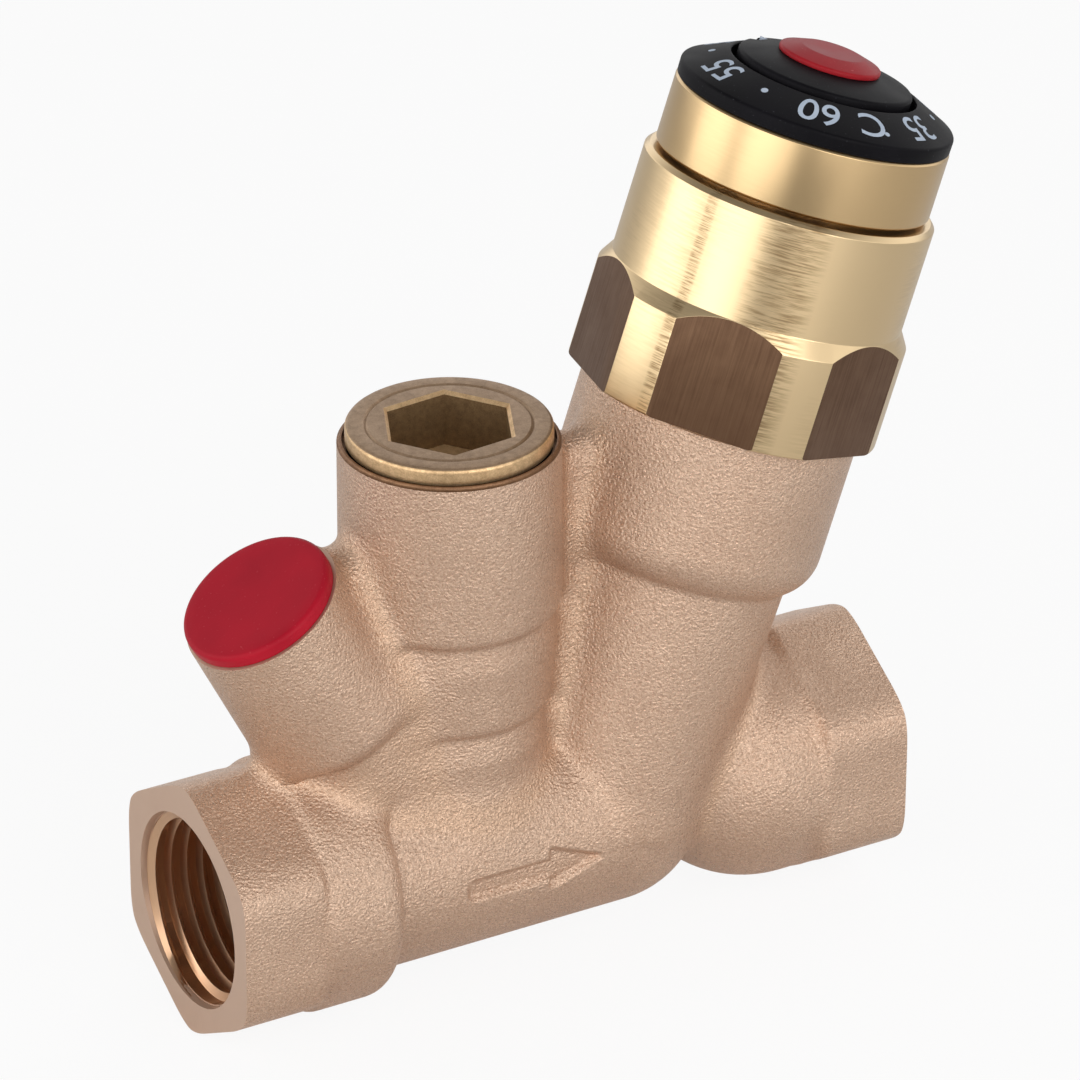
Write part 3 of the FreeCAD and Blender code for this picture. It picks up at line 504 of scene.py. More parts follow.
def finish_piece(thing: bpy.types.Object, body: Body, replaced: Sequence[str] = (),
                 sharp: float = 32.0) -> None:
    """Shade a finished piece and put it on its body.

    Args:
        thing: Finished object.
        body: Body that it rides on.
        replaced: CAD nodes that it stands for.
        sharp: Angle in degrees above which an edge stays sharp, or 0 to leave the shading as it is.
    """
    if sharp:
        thing.data.shade_smooth()
        thing.data.set_sharp_from_angle(angle=math.radians(sharp))
    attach(thing, body.value)
    if replaced:
        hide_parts(*replaced)
    triangles = sum(len(face.vertices) - 2 for face in thing.data.polygons)
    LOG.info("%s: %d triangles on %s", thing.name, triangles, body.value)


# Shader tools


class Wiring:
    """Short way to place nodes and link them in one node tree."""

    def __init__(self, tree: bpy.types.NodeTree) -> None:
        """Keep the tree."""
        self.tree = tree

    def add(self, kind: str, inputs: dict[Any, Any] | None = None, **settings: Any) -> bpy.types.Node:
        """Place a node.

        Args:
            kind: Node type without its ShaderNode prefix.
            inputs: Values or sockets for its inputs, by name or index.
            settings: Properties of the node.

        Returns:
            The new node.
        """
        node = self.tree.nodes.new("ShaderNode" + kind)
        for name, value in settings.items():
            setattr(node, name, value)
        for key, value in (inputs or {}).items():
            self.feed(node.inputs[key], value)
        return node

    def feed(self, socket: bpy.types.NodeSocket, value: Any) -> None:
        """Give an input socket a value, or a link from another socket."""
        if isinstance(value, bpy.types.NodeSocket):
            self.tree.links.new(value, socket)
        else:
            socket.default_value = value

    def math(self, operation: str, first: Any, second: Any = 0.5,
             clamp: bool = False) -> bpy.types.NodeSocket:
        """Work out one number from two.

        Args:
            operation: Name of the operation.
            first: First number or socket.
            second: Second number or socket.
            clamp: Whether the result is held between 0 and 1.

        Returns:
            The result.
        """
        return self.add("Math", {0: first, 1: second}, operation=operation, use_clamp=clamp).outputs[0]

    def blend(self, factor: Any, first: Any, second: Any) -> bpy.types.NodeSocket:
        """Mix two colours by a factor."""
        return self.add("Mix", {"Factor": factor, 6: first, 7: second}, data_type="RGBA").outputs[2]

    def vector(self, operation: str, *inputs: Any) -> bpy.types.NodeSocket:
        """Work out one vector from one or two."""
        return self.add("VectorMath", dict(enumerate(inputs)), operation=operation).outputs[0]

    def towards(self, way: Any, middle: Sequence[float], wide: float, narrow: float) -> bpy.types.NodeSocket:
        """Mask round a level direction.

        Args:
            way: Directions that are judged by their X and Y.
            middle: Direction where the mask is 1.
            wide: Angle from it where the mask ends, in degrees.
            narrow: Angle up to which it is 1.

        Returns:
            The mask.
        """
        level = self.vector("NORMALIZE", self.vector("MULTIPLY", way, (1.0, 1.0, 0.0)))
        near = self.add("VectorMath", {0: level, 1: middle}, operation="DOT_PRODUCT").outputs["Value"]
        return self.ramp(near, math.cos(math.radians(wide)), math.cos(math.radians(narrow)))

    def ramp(self, value: Any, low: float, high: float, bottom: float = 0.0,
             top: float = 1.0) -> bpy.types.NodeSocket:
        """Carry a value from one range to another, held at both ends.

        Args:
            value: Socket to carry over.
            low: Start of its range.
            high: End of its range.
            bottom: Result at the start.
            top: Result at the end.

        Returns:
            The result.
        """
        inputs = {0: value, 1: low, 2: high, 3: bottom, 4: top}
        return self.add("MapRange", inputs, clamp=True).outputs[0]

    def noise(self, vector: Any, scale: Any, detail: float = 2.0,
              roughness: float = 0.5) -> bpy.types.NodeSocket:
        """Noise as one value."""
        inputs = {"Vector": vector, "Scale": scale, "Detail": detail, "Roughness": roughness}
        return self.add("TexNoise", inputs).outputs["Fac"]

    def surface(self, shader: bpy.types.Node, colour: Any, rough: Any, height: Any, bump: float) -> None:
        """Feed a Principled shader.

        Args:
            shader: The shader node.
            colour: Its colour.
            rough: Its roughness.
            height: Relief from 0 to 1.
            bump: Full height of the relief, in millimetres.
        """
        relief = self.add("Bump", {"Height": height, "Strength": 1.0, "Distance": bump * MM})
        for name, value in (("Base Color", colour), ("Roughness", rough), ("Normal", relief.outputs[0])):
            self.feed(shader.inputs[name], value)


def grey(level: float) -> tuple[float, float, float, float]:
    """Grey with full cover."""
    return level, level, level, 1.0


def rgba(colour: Colour) -> tuple[float, float, float, float]:
    """Linear colour of an sRGB colour that is given from 0 to 255."""
    linear = []
    for part in colour:
        value = part / 255.0
        linear.append(value / 12.92 if value <= 0.04045 else ((value + 0.055) / 1.055) ** 2.4)
    return linear[0], linear[1], linear[2], 1.0


class Effects:
    """Shader node groups that several finishes share, each made once."""

    def group(self, name: str, inputs: dict[str, float],
              outputs: Sequence[str]) -> tuple[Wiring, dict[str, Any], Any]:
        """Start a group with a Vector input, some number inputs and number outputs.

        Args:
            name: Name of the group.
            inputs: Number inputs with their defaults.
            outputs: Names of the outputs.

        Returns:
            The group's wiring, its input sockets by name, and its output node.
        """
        tree = bpy.data.node_groups.new(name, "ShaderNodeTree")
        tree.interface.new_socket("Vector", in_out="INPUT", socket_type="NodeSocketVector")
        for label, value in inputs.items():
            socket = tree.interface.new_socket(label, in_out="INPUT", socket_type="NodeSocketFloat")
            socket.default_value = value
        for label in outputs:
            tree.interface.new_socket(label, in_out="OUTPUT", socket_type="NodeSocketFloat")
        start = tree.nodes.new("NodeGroupInput")
        end = tree.nodes.new("NodeGroupOutput")
        return Wiring(tree), {socket.name: socket for socket in start.outputs}, end

    def put_out(self, wires: Wiring, end: bpy.types.Node, *results: Any) -> bpy.types.NodeTree:
        """Link a group's results to its outputs in order and return the group."""
        for socket, result in zip(end.inputs, results):
            wires.feed(socket, result)
        return wires.tree

    @cache
    def sand_grain(self) -> bpy.types.NodeTree:
        """Skin of a sand casting: fine grain, soft lumps and single bright facets."""
        sizes = {"Fine": 6500.0, "Lumps": 3600.0}
        wires, ins, end = self.group("sand_grain", sizes, ("Height", "Tone", "Facet"))
        vector = ins["Vector"]
        fine = wires.noise(vector, ins["Fine"], roughness=0.6)
        lumps = wires.noise(vector, ins["Lumps"])
        cells = wires.add("TexVoronoi", {"Vector": vector, "Scale": ins["Fine"], "Randomness": 1.0})
        facet = wires.add("SeparateColor", {0: cells.outputs["Color"]})
        broad = wires.noise(vector, scale=80.0)
        swell = wires.ramp(broad, low=0.35, high=0.65, bottom=0.8, top=1.6)
        wide = wires.math("MULTIPLY", lumps, swell)
        tall = wires.math("MULTIPLY", fine, 0.35)
        bits = wires.math("MULTIPLY", facet.outputs[0], 0.15)
        height = wires.math("ADD", wires.math("ADD", tall, wide), bits)
        both = wires.math("ADD", wires.math("MULTIPLY", fine, 0.4), wires.math("MULTIPLY", lumps, 0.4))
        tone = wires.math("ADD", both, wires.math("MULTIPLY", broad, 0.2))
        return self.put_out(wires, end, height, tone, facet.outputs[1])

    @cache
    def tool_marks(self) -> bpy.types.NodeTree:
        """Marks of a cutting tool, long along X and Y and close together along Z of the coordinates."""
        sizes = {"Length": 420.0, "Pitch": 11000.0}
        wires, ins, end = self.group("tool_marks", sizes, ("Height", "Streak", "Patch"))
        along = wires.add("CombineXYZ", {0: ins["Length"], 1: ins["Length"], 2: ins["Pitch"]}).outputs[0]
        lines = wires.vector("MULTIPLY", ins["Vector"], along)
        fine = wires.noise(lines, scale=1.0, detail=3.0, roughness=0.65)
        wider = wires.vector("MULTIPLY", lines, (0.7, 0.7, 0.45))
        coarse = wires.noise(wider, scale=1.0, detail=3.0, roughness=0.6)
        height = wires.math("ADD", wires.math("MULTIPLY", fine, 0.6), wires.math("MULTIPLY", coarse, 0.5))
        patch = wires.noise(wires.vector("MULTIPLY", ins["Vector"], (1.0, 1.0, 0.35)), scale=110.0)
        return self.put_out(wires, end, height, coarse, patch)

    @cache
    def moulded_skin(self) -> bpy.types.NodeTree:
        """Skin of a moulded plastic: faint grain, slow waves and a few dust specks."""
        wires, ins, end = self.group("moulded_skin", {"Fine": 9000.0}, ("Height", "Tone", "Dust"))
        vector = ins["Vector"]
        fine = wires.noise(vector, ins["Fine"], roughness=0.55)
        slow = wires.noise(vector, scale=180.0, detail=3.0)
        specks = wires.noise(vector, scale=4200.0, detail=1.0, roughness=0.3)
        dust = wires.ramp(specks, low=0.72, high=0.8)
        height = wires.math("ADD", fine, wires.math("MULTIPLY", slow, 0.8))
        return self.put_out(wires, end, height, slow, dust)


EFFECTS = Effects()


def start_material(name: str, shown: Colour) -> tuple[bpy.types.Material, Wiring, bpy.types.Node]:
    """New material with its Principled shader.

    Args:
        name: Name of the material.
        shown: Colour for plain viewports, from 0 to 255.

    Returns:
        The material, its wiring and the shader node.
    """
    material = bpy.data.materials.new(name)
    material.use_nodes = True
    material.diffuse_color = rgba(shown)
    return material, Wiring(material.node_tree), material.node_tree.nodes["Principled BSDF"]


def aligned(wires: Wiring, axis: TurnedAxis) -> bpy.types.NodeSocket:
    """Object coordinates turned so that Z runs along an axis of the casting."""
    where = wires.add("TexCoord").outputs["Object"]
    inputs = {
        "Vector": where,
        "Location": (axis.place * MM, 0.0, 0.0),
        "Rotation": (0.0, math.radians(axis.tilt), 0.0),
    }
    return wires.add("Mapping", inputs, vector_type="TEXTURE").outputs[0]


@dataclass(frozen=True)
class Metal:
    """A metal finish.

    Attributes:
        name: Name of the material.
        light: Colour of the bright parts, from 0 to 255.
        dark: Colour of the dull parts.
        grain: How the surface was made.
        axis: Axis that the tool marks go round or along.
        metallic: Share of metal in the shader.
        rough: Roughness from the bright to the dull parts.
        bump: Height of the marks, in millimetres.
        tarnish: Strength of the dull streaks and of the painted dark reflection stripes, or on a casting the
            strength of the painted shade in its creases.
        crease: Colour of the painted shade in the creases of a casting.
        bands: Dark stripes painted along a turned piece at fixed angles round it, a painted dark reflection,
            as (angle, half width) pairs in degrees.
    """

    name: str
    light: Colour
    dark: Colour
    grain: Grain
    axis: TurnedAxis = UPRIGHT
    metallic: float = 1.0
    rough: tuple[float, float] = (0.3, 0.5)
    bump: float = 0.01
    tarnish: float = 0.5
    crease: Colour = (214, 170, 126)
    bands: tuple[tuple[float, float], ...] = ()

    @cache
    def material(self) -> bpy.types.Material:
        """Build the material of this finish."""
        makers = {Grain.CAST: self.cast, Grain.TURNED: self.turned, Grain.MILLED: self.milled,
                  Grain.PLAIN: self.plain}
        material, wires, shader = start_material(self.name, self.light)
        shader.inputs["Metallic"].default_value = self.metallic
        wires.surface(shader, *makers[self.grain](wires), self.bump)
        return material

    def cast(self, wires: Wiring) -> tuple[Any, Any, Any]:
        """Sand-cast skin with single bright grains, slightly shinier in the creases, with painted shade
        there.
        """
        where = wires.add("TexCoord").outputs["Object"]
        grain = wires.add("Group", {"Vector": where}, node_tree=EFFECTS.sand_grain())
        crease = wires.add("Attribute", attribute_name="crease").outputs["Fac"]
        tone = wires.ramp(grain.outputs["Tone"], low=0.28, high=0.7)
        skin = wires.blend(tone, rgba(self.dark), rgba(self.light))
        # Painted shade: the colour turns towards the darker crease colour where the fillets are deep.
        colour = wires.blend(wires.math("MULTIPLY", crease, self.tarnish), skin, rgba(self.crease))
        sparkle = wires.ramp(grain.outputs["Facet"], low=0.78, high=1.0, top=0.2)
        shine = wires.math("ADD", sparkle, wires.math("MULTIPLY", crease, 0.05))
        rough = wires.math("SUBTRACT", wires.ramp(tone, 0.0, 1.0, self.rough[1], self.rough[0]), shine)
        return colour, rough, grain.outputs["Height"]

    def turned(self, wires: Wiring) -> tuple[Any, Any, Any]:
        """Lathe marks round the axis, with dull streaks in random patches and painted dark reflection stripes
        along it.
        """
        where = aligned(wires, self.axis)
        marks = wires.add("Group", {"Vector": where}, node_tree=EFFECTS.tool_marks())
        streak = wires.ramp(marks.outputs["Streak"], low=0.42, high=0.62)
        patch = wires.ramp(marks.outputs["Patch"], low=0.46, high=0.72, top=0.3)
        # Painted reflection: dark stripes at fixed angles round the axis join the random dull patches.
        for angle, half in self.bands:
            middle = (math.cos(math.radians(angle)), math.sin(math.radians(angle)), 0.0)
            patch = wires.math("MAXIMUM", patch, wires.towards(where, middle, 1.5 * half, 0.6 * half))
        dull = wires.math("MULTIPLY", wires.math("MULTIPLY", streak, patch), self.tarnish, clamp=True)
        return *self.dulled(wires, dull), marks.outputs["Height"]

    def milled(self, wires: Wiring) -> tuple[Any, Any, Any]:
        """Drawn bar surface: lines along the axis, with a cloudy patina."""
        where = aligned(wires, self.axis)
        drawn = wires.vector("MULTIPLY", where, (1.0, 1.0, 0.045))
        inputs = {"Vector": drawn, "Length": 6500.0, "Pitch": 6500.0}
        marks = wires.add("Group", inputs, node_tree=EFFECTS.tool_marks())
        cloud = wires.math("MULTIPLY", wires.noise(where, scale=260.0, detail=4.0, roughness=0.6), 0.45)
        mix = wires.math("ADD", wires.math("MULTIPLY", marks.outputs["Streak"], 0.55), cloud)
        return *self.dulled(wires, wires.ramp(mix, low=0.38, high=0.62)), marks.outputs["Height"]

    def plain(self, wires: Wiring) -> tuple[Any, Any, Any]:
        """Blasted or worn surface with an even fine grain."""
        inputs = {"Vector": wires.add("TexCoord").outputs["Object"], "Fine": 7000.0, "Lumps": 1500.0}
        grain = wires.add("Group", inputs, node_tree=EFFECTS.sand_grain())
        tone = wires.ramp(grain.outputs["Tone"], low=0.36, high=0.64)
        dull = wires.math("MULTIPLY", tone, self.tarnish, clamp=True)
        return *self.dulled(wires, dull), grain.outputs["Height"]

    def dulled(self, wires: Wiring, dull: Any) -> tuple[Any, Any]:
        """Colour and roughness from the bright to the dull parts."""
        return wires.blend(dull, rgba(self.light), rgba(self.dark)), wires.ramp(dull, 0.0, 1.0, *self.rough)


@dataclass(frozen=True)
class Plastic:
    """A moulded plastic or rubber finish.

    Attributes:
        name: Name of the material.
        light: Colour of the paler parts, from 0 to 255.
        dark: Colour of the deeper parts.
        dust: Colour of the few specks.
        rough: Lowest and highest roughness.
        bump: Height of the grain, in millimetres.
        fine: Grains per metre.
        gloss: Strength of its reflections.
    """

    name: str
    light: Colour
    dark: Colour
    dust: Colour
    rough: tuple[float, float] = (0.35, 0.5)
    bump: float = 0.004
    fine: float = 9000.0
    gloss: float = 0.15

    @cache
    def material(self) -> bpy.types.Material:
        """Build the material of this finish."""
        material, wires, shader = start_material(self.name, self.light)
        shader.inputs["Specular IOR Level"].default_value = self.gloss
        where = wires.add("TexCoord").outputs["Object"]
        skin = wires.add("Group", {"Vector": where, "Fine": self.fine}, node_tree=EFFECTS.moulded_skin())
        tone = wires.ramp(skin.outputs["Tone"], low=0.3, high=0.7)
        colour = wires.blend(tone, rgba(self.dark), rgba(self.light))
        specked = wires.blend(wires.math("MULTIPLY", skin.outputs["Dust"], 0.35), colour, rgba(self.dust))
        rough = wires.ramp(tone, 0.0, 1.0, *self.rough)
        wires.surface(shader, specked, rough, skin.outputs["Height"], self.bump)
        return material


# Its crease colour is painted shade in the casting's fillets.
CAST_BRONZE = Metal("cast_bronze", (226, 196, 172), (172, 137, 113), Grain.CAST, metallic=0.75,
                    rough=(0.28, 0.44), bump=0.17, tarnish=0.4, crease=(206, 170, 140))
# Darker brown than the faced bronze, on the port's rim and the walls of its bore.
DARK_PORT_RIM = Metal("dark_port_rim", (150, 112, 82), (104, 74, 50), Grain.PLAIN, PORT, metallic=0.7,
                   rough=(0.4, 0.55), bump=0.02, tarnish=0.9)
FACED_BRONZE = Metal("faced_bronze", (200, 170, 148), (170, 136, 112), Grain.TURNED, RUN, metallic=0.6,
                     rough=(0.4, 0.5), bump=0.003, tarnish=0.5)
THREAD_BRONZE = Metal("thread_bronze", (212, 172, 138), (146, 108, 80), Grain.TURNED, RUN, rough=(0.3, 0.46),
                      bump=0.006, tarnish=0.7)
# Its listed angles are painted dark reflections on the bonnet's drum, not marks on the metal.
BRIGHT_BRASS = Metal("bright_brass", (220, 194, 152), (124, 96, 62), Grain.TURNED, BRANCH, rough=(0.28, 0.4),
                     bump=0.006, tarnish=0.8, bands=((-119.0, 10.0), (-154.0, 2.0), (52.0, 12.0)))
SATIN_BRASS = Metal("satin_brass", (204, 175, 131), (168, 138, 98), Grain.TURNED, BRANCH, rough=(0.28, 0.4),
                    bump=0.005, tarnish=0.5)
# Drawn bar skin of the bonnet's flats, painted dark brown: a painted dark reflection of the flats.
BAR_SKIN_PAINTED_DARK = Metal("bar_skin_painted_dark", (108, 80, 58), (92, 65, 45), Grain.MILLED, BRANCH, metallic=0.7,
                   rough=(0.36, 0.48), bump=0.002)
PLUG_FACE = Metal("plug_face", (172, 144, 116), (128, 104, 80), Grain.PLAIN, PORT, metallic=0.7,
                  rough=(0.4, 0.54), bump=0.025, tarnish=0.8)
# Painted paler than the plug's top face: a painted highlight on the rounded edge and the socket's bevel.
PLUG_EDGE_PAINTED_HIGHLIGHT = Metal("plug_edge_painted_highlight", (224, 190, 146), (166, 134, 96), Grain.PLAIN, PORT, metallic=0.9,
                  rough=(0.34, 0.48), bump=0.03, tarnish=0.8)
# Socket floor painted pale and mostly matte: painted light at the bottom of the deep socket.
PLUG_FLOOR_PAINTED_LIGHT = Metal("plug_floor_painted_light", (214, 180, 136), (168, 136, 98), Grain.PLAIN, PORT, metallic=0.2,
                   rough=(0.4, 0.54), bump=0.025, tarnish=0.8)
# Socket walls painted darker than the plug's top: painted shade inside the socket.
PLUG_SOCKET_PAINTED_SHADE = Metal("plug_socket", (150, 122, 86), (108, 84, 56), Grain.PLAIN, PORT, metallic=0.6,
                    rough=(0.4, 0.56), bump=0.02, tarnish=0.9)
INNER_BRASS = Metal("inner_brass", (206, 176, 120), (140, 108, 62), Grain.TURNED, BRANCH, rough=(0.3, 0.45),
                    bump=0.006, tarnish=0.6)
PORT_BRASS = Metal("port_brass", (206, 176, 120), (140, 108, 62), Grain.TURNED, PORT, rough=(0.3, 0.45),
                   bump=0.006, tarnish=0.6)
SPRING_STEEL = Metal("spring_steel", (188, 190, 194), (120, 122, 128), Grain.MILLED, BRANCH,
                     rough=(0.25, 0.4), bump=0.004)
DRAWN_COPPER = Metal("drawn_copper", (206, 132, 100), (146, 84, 60), Grain.TURNED, BRANCH, rough=(0.28, 0.42),
                     bump=0.005, tarnish=0.6)
BLACK_PLASTIC = Plastic("black_plastic", (20, 19, 23), (13, 12, 15), (80, 80, 86), (0.4, 0.52), 0.005,
                        gloss=0.06)
RED_PLUG = Plastic("red_plug", (172, 24, 42), (160, 20, 38), (200, 90, 96), (0.36, 0.46), 0.003, gloss=0.1)
RED_CAP = Plastic("red_cap", (166, 34, 42), (148, 27, 35), (205, 110, 110), (0.34, 0.44), 0.004, gloss=0.12)
PALE_PLASTIC = Plastic("pale_plastic", (226, 224, 214), (204, 201, 188), (160, 158, 150), (0.4, 0.55), 0.005)
PRINT_WHITE = Plastic("print_white", (190, 202, 218), (172, 186, 204), (140, 150, 165), (0.45, 0.6), 0.002)
SEAL_RUBBER = Plastic("seal_rubber", (28, 27, 26), (16, 15, 15), (70, 68, 66), (0.55, 0.75), 0.01, 5000.0)


# Pieces


@dataclass
class Casting:
    """Bronze body: run with hexagon ends, branch, port, pocket and webs, blended as one casting."""

    length: float = 78.0
    hex_flats: float = 25.6
    hex_corner: float = 28.2
    hex_length: float = 9.6
    inlet_collar: float = 26.9
    inlet_collar_length: float = 6.6
    inlet_collar_round: float = 2.4
    run: float = 22.5
    outlet_collar: float = 25.8
    outlet_collar_length: float = 2.5
    bulge_round: float = 14.0
    bulge_length: float = 11.0
    branch_neck: float = 24.4
    collar: float = 29.3
    collar_round: float = 4.5
    collar_straight: float = 13.2
    collar_top: float = 45.0
    port: float = 22.6
    port_top: float = 46.0
    port_steps: tuple[float, float] = (16.6, 27.4)
    port_middle: float = 21.3
    port_foot: float = 19.4
    port_root: float = 16.0
    port_draft: float = 0.5
    step_round: float = 1.2
    pocket_rim: float = 16.7
    pocket_top: float = 37.6
    pocket_foot: float = 18.2
    pocket_foot_height: float = 22.5
    pocket_foot_round: float = 2.0
    pocket_neck: float = 15.2
    branch_web: tuple[float, float, float, float] = (4.4, 7.6, 3.0, 14.0)
    pocket_web: tuple[float, float, float, float] = (5.4, 14.6, 0.7, 22.5)
    pocket_web_rise: float = 1.4
    web_bite: float = 1.5
    thread_root: float = 20.2
    thread_crest: float = 18.6
    thread_mouth: float = 20.7
    thread_length: float = 14.0
    thread_pitch: float = 1.814
    thread_turns: int = 6
    thread_steps: int = 72
    thread_fade: float = 0.2
    thread_lead: tuple[float, float, float] = (20.4, 0.45, 0.8)
    ridge_flank: float = 0.62
    ridge_flat: float = 0.11
    ridge_sink: float = 0.15
    ridge_least: float = 0.02
    waterway: float = 15.0
    passage: tuple[float, float, float] = (10.0, 43.0, 15.5)
    crossover: tuple[float, float] = (3.0, 23.0)
    recess: float = 21.6
    recess_depth: float = 0.9
    port_thread: float = 16.6
    port_thread_length: float = 12.0
    port_chamber: tuple[float, float] = (15.2, 19.0)
    port_way: float = 8.0
    pocket_bore: float = 13.0
    pocket_depth: float = 14.0
    bonnet_thread: float = 25.0
    bonnet_thread_length: float = 11.0
    chamber: float = 18.8
    seat: tuple[float, float, float] = (11.0, 2.0, 5.0)
    lower_chamber: tuple[float, float] = (13.0, 7.0)
    arrow_start: float = 26.5
    arrow_length: float = 15.6
    arrow_head: tuple[float, float] = (6.0, 4.8)
    arrow_shaft: float = 2.2
    arrow_depth: float = 0.7
    arrow_slope: float = 0.75
    arrow_rounds: tuple[float, float, float] = (0.8, 0.3, 0.2)
    arrow_room: float = 1.0
    spare: float = 2.0
    step_groove: tuple[float, float] = (3.2, 0.32)
    ring_edge: float = 1.0
    hex_round: float = 0.9
    web_round: float = 3.2
    rim_edge: float = 0.35
    rim_past: float = 0.05
    outlet_fillet: float = 3.0
    branch_fillet: float = 1.0
    port_fillet: float = 3.6
    pocket_fillet: float = 3.0
    web_fillets: tuple[float, float] = (2.6, 2.0)
    hex_fillet: float = 0.8
    voxel: float = 0.44
    blank_segments: int = 120
    bore_segments: int = 96
    skin_passes: int = 4
    skin_probe: float = 0.02
    skin_steep: float = 0.2
    crease_start: float = 0.12
    crease_depth: float = 0.4
    sharp: float = 38.0

    def build(self) -> None:
        """Blend the outer forms, face the ends, cut the bores and cut the threads."""
        thing = self.blend_forms()
        self.face_ends(thing)
        for cutter in self.bores():
            carve(thing, cutter)
        self.press_arrow(thing)
        self.cut_threads(thing)
        self.mark_creases(thing)
        finish_piece(thing, Body.HOUSING, ["valve_body"], self.sharp)

    def blend_forms(self) -> bpy.types.Object:
        """Join all outer forms under one skin and lay it on the blended form."""
        bm = bmesh.new()
        for axis, profile in self.turned_forms().values():
            turn(bm, profile, axis, self.blank_segments)
        ball = bmesh.new()
        bmesh.ops.create_icosphere(ball, subdivisions=4, radius=self.run / 2.0)
        add_shell(bm, ball, BRANCH)
        self.add_hexagons(bm)
        for web in self.webs():
            self.add_web(bm, *web)
        thing = new_object("casting", bm)
        remesh = thing.modifiers.new("skin", "REMESH")
        remesh.mode = "VOXEL"
        remesh.voxel_size = self.voxel * MM
        bake(thing)
        self.lay_skin(thing)
        return thing

    def turned_forms(self) -> dict[str, tuple[TurnedAxis, list[Vector]]]:
        """Axes and outlines of all turned outer forms."""
        past, edge = self.spare, self.ring_edge
        core = self.hex_flats / 2.0 - edge
        collar, pipe = self.inlet_collar / 2.0, self.run / 2.0
        first, last = self.hex_length, self.hex_length + self.inlet_collar_length
        fall = arc_run(self.inlet_collar_round, collar - pipe)
        forms = {"pipe": (RUN, outline([
            (0.0, first - past), (core, first - past), (core, first), (collar - edge, first, -edge),
            (collar, first + edge), (collar, last, -self.inlet_collar_round), (pipe, last + fall),
            (pipe, BRANCH.place), (0.0, BRANCH.place)]))}
        start = self.length - self.hex_length
        low = start - self.outlet_collar_length
        rim = self.outlet_collar / 2.0
        drop_in = self.bulge_round - math.sqrt(self.bulge_round**2 - self.bulge_length**2)
        forms["outlet"] = (RUN, outline([
            (0.0, low - self.bulge_length), (rim - drop_in, low - self.bulge_length, -self.bulge_round),
            (rim, low), (rim, start), (core, start + past), (0.0, start + past)], steps=12))
        neck, wall = self.branch_neck / 2.0, self.collar / 2.0
        shoulder = self.collar_top - self.collar_straight
        rise = arc_run(self.collar_round, wall - neck)
        forms["branch"] = (BRANCH, outline([
            (0.0, 0.0), (pipe, 0.0), (neck, shoulder - rise, -self.collar_round), (wall, shoulder),
            (wall, self.collar_top + past), (0.0, self.collar_top + past)]))
        low, high = self.port_steps
        foot, middle, wall = self.port_foot / 2.0, self.port_middle / 2.0, self.port / 2.0
        lip = self.step_round
        below, depth = self.step_groove
        forms["port"] = (PORT, outline([
            (0.0, 0.0), (self.port_root / 2.0, 0.0), (foot, low - below), (foot - depth, low, -lip),
            (middle - self.port_draft, low + lip), (middle, high - below), (middle - depth, high, -lip),
            (wall, high + lip), (wall, self.port_top + past), (0.0, self.port_top + past)], steps=6))
        neck, foot, rim = self.pocket_neck / 2.0, self.pocket_foot / 2.0, self.pocket_rim / 2.0
        level = self.pocket_foot_height
        rise = arc_run(self.pocket_foot_round, foot - neck)
        slope = (rim - foot) / (self.pocket_top - level)
        forms["pocket"] = (POCKET, outline([
            (0.0, 0.0), (neck, 0.0), (neck, level - rise, -self.pocket_foot_round), (foot, level),
            (rim + slope * past, self.pocket_top + past), (0.0, self.pocket_top + past)]))
        return forms

    def hexagon_ends(self) -> tuple[tuple[float, float], tuple[float, float]]:
        """Where both hexagons start and end along the run, with some length to spare outside."""
        return (-self.spare, self.hex_length), (self.length - self.hex_length, self.length + self.spare)

    def add_hexagons(self, bm: bmesh.types.BMesh) -> None:
        """Add both hexagon ends with turned corners."""
        for low, high in self.hexagon_ends():
            shell = bmesh.new()
            bmesh.ops.create_circle(shell, cap_ends=True, segments=self.blank_segments,
                                    radius=self.hex_corner / 2.0)
            for angle in range(30, 390, 60):
                normal = (math.cos(math.radians(angle)), math.sin(math.radians(angle)), 0.0)
                slice_off(shell, [part * self.hex_flats / 2.0 for part in normal], normal)
            raise_faces(shell, shell.faces[:], high - low)
            bmesh.ops.translate(shell, vec=(0, 0, low), verts=shell.verts)
            add_shell(bm, shell, RUN)

    def form(self, places: np.ndarray) -> tuple[np.ndarray, np.ndarray]:
        """Distances of points to the blended outer form.

        Args:
            places: The points in millimetres, one in each row.

        Returns:
            The distances, negative inside, and what the fillets add to the bare forms at each point.
        """
        bare = {name: turned_distance(places, *parts) for name, parts in self.turned_forms().items()}
        bare["elbow"] = np.linalg.norm(places - np.array((BRANCH.place, 0.0, 0.0)), axis=1) - self.run / 2.0
        own = RUN.local(places)
        sides = [abs(math.cos(turn_by) * own[:, 0] + math.sin(turn_by) * own[:, 1])
                 for turn_by in (math.radians(angle) for angle in (30.0, 90.0, 150.0))]
        bar = meet(np.max(sides, axis=0) - self.hex_flats / 2.0,
                   np.hypot(own[:, 0], own[:, 1]) - self.hex_corner / 2.0, self.hex_round)
        for name, (low, high) in zip(("inlet_hexagon", "outlet_hexagon"), self.hexagon_ends()):
            bare[name] = meet(bar, abs(own[:, 2] - (low + high) / 2.0) - (high - low) / 2.0, self.hex_round)
        for name, (corners, foot, top, shoulder, ridge) in zip(("branch_web", "pocket_web"), self.webs()):
            share = np.clip((places[:, 2] - shoulder) / (ridge - shoulder), 0.0, 1.0)
            side = abs(places[:, 1]) - (foot + share * (top - foot)) / 2.0
            view = flat_distance(places[:, [0, 2]], [Vector(corner) for corner in corners])
            bare[name] = meet(view, side, self.web_round)
        outlet = melt(bare["outlet"], bare["outlet_hexagon"], self.hex_fillet)
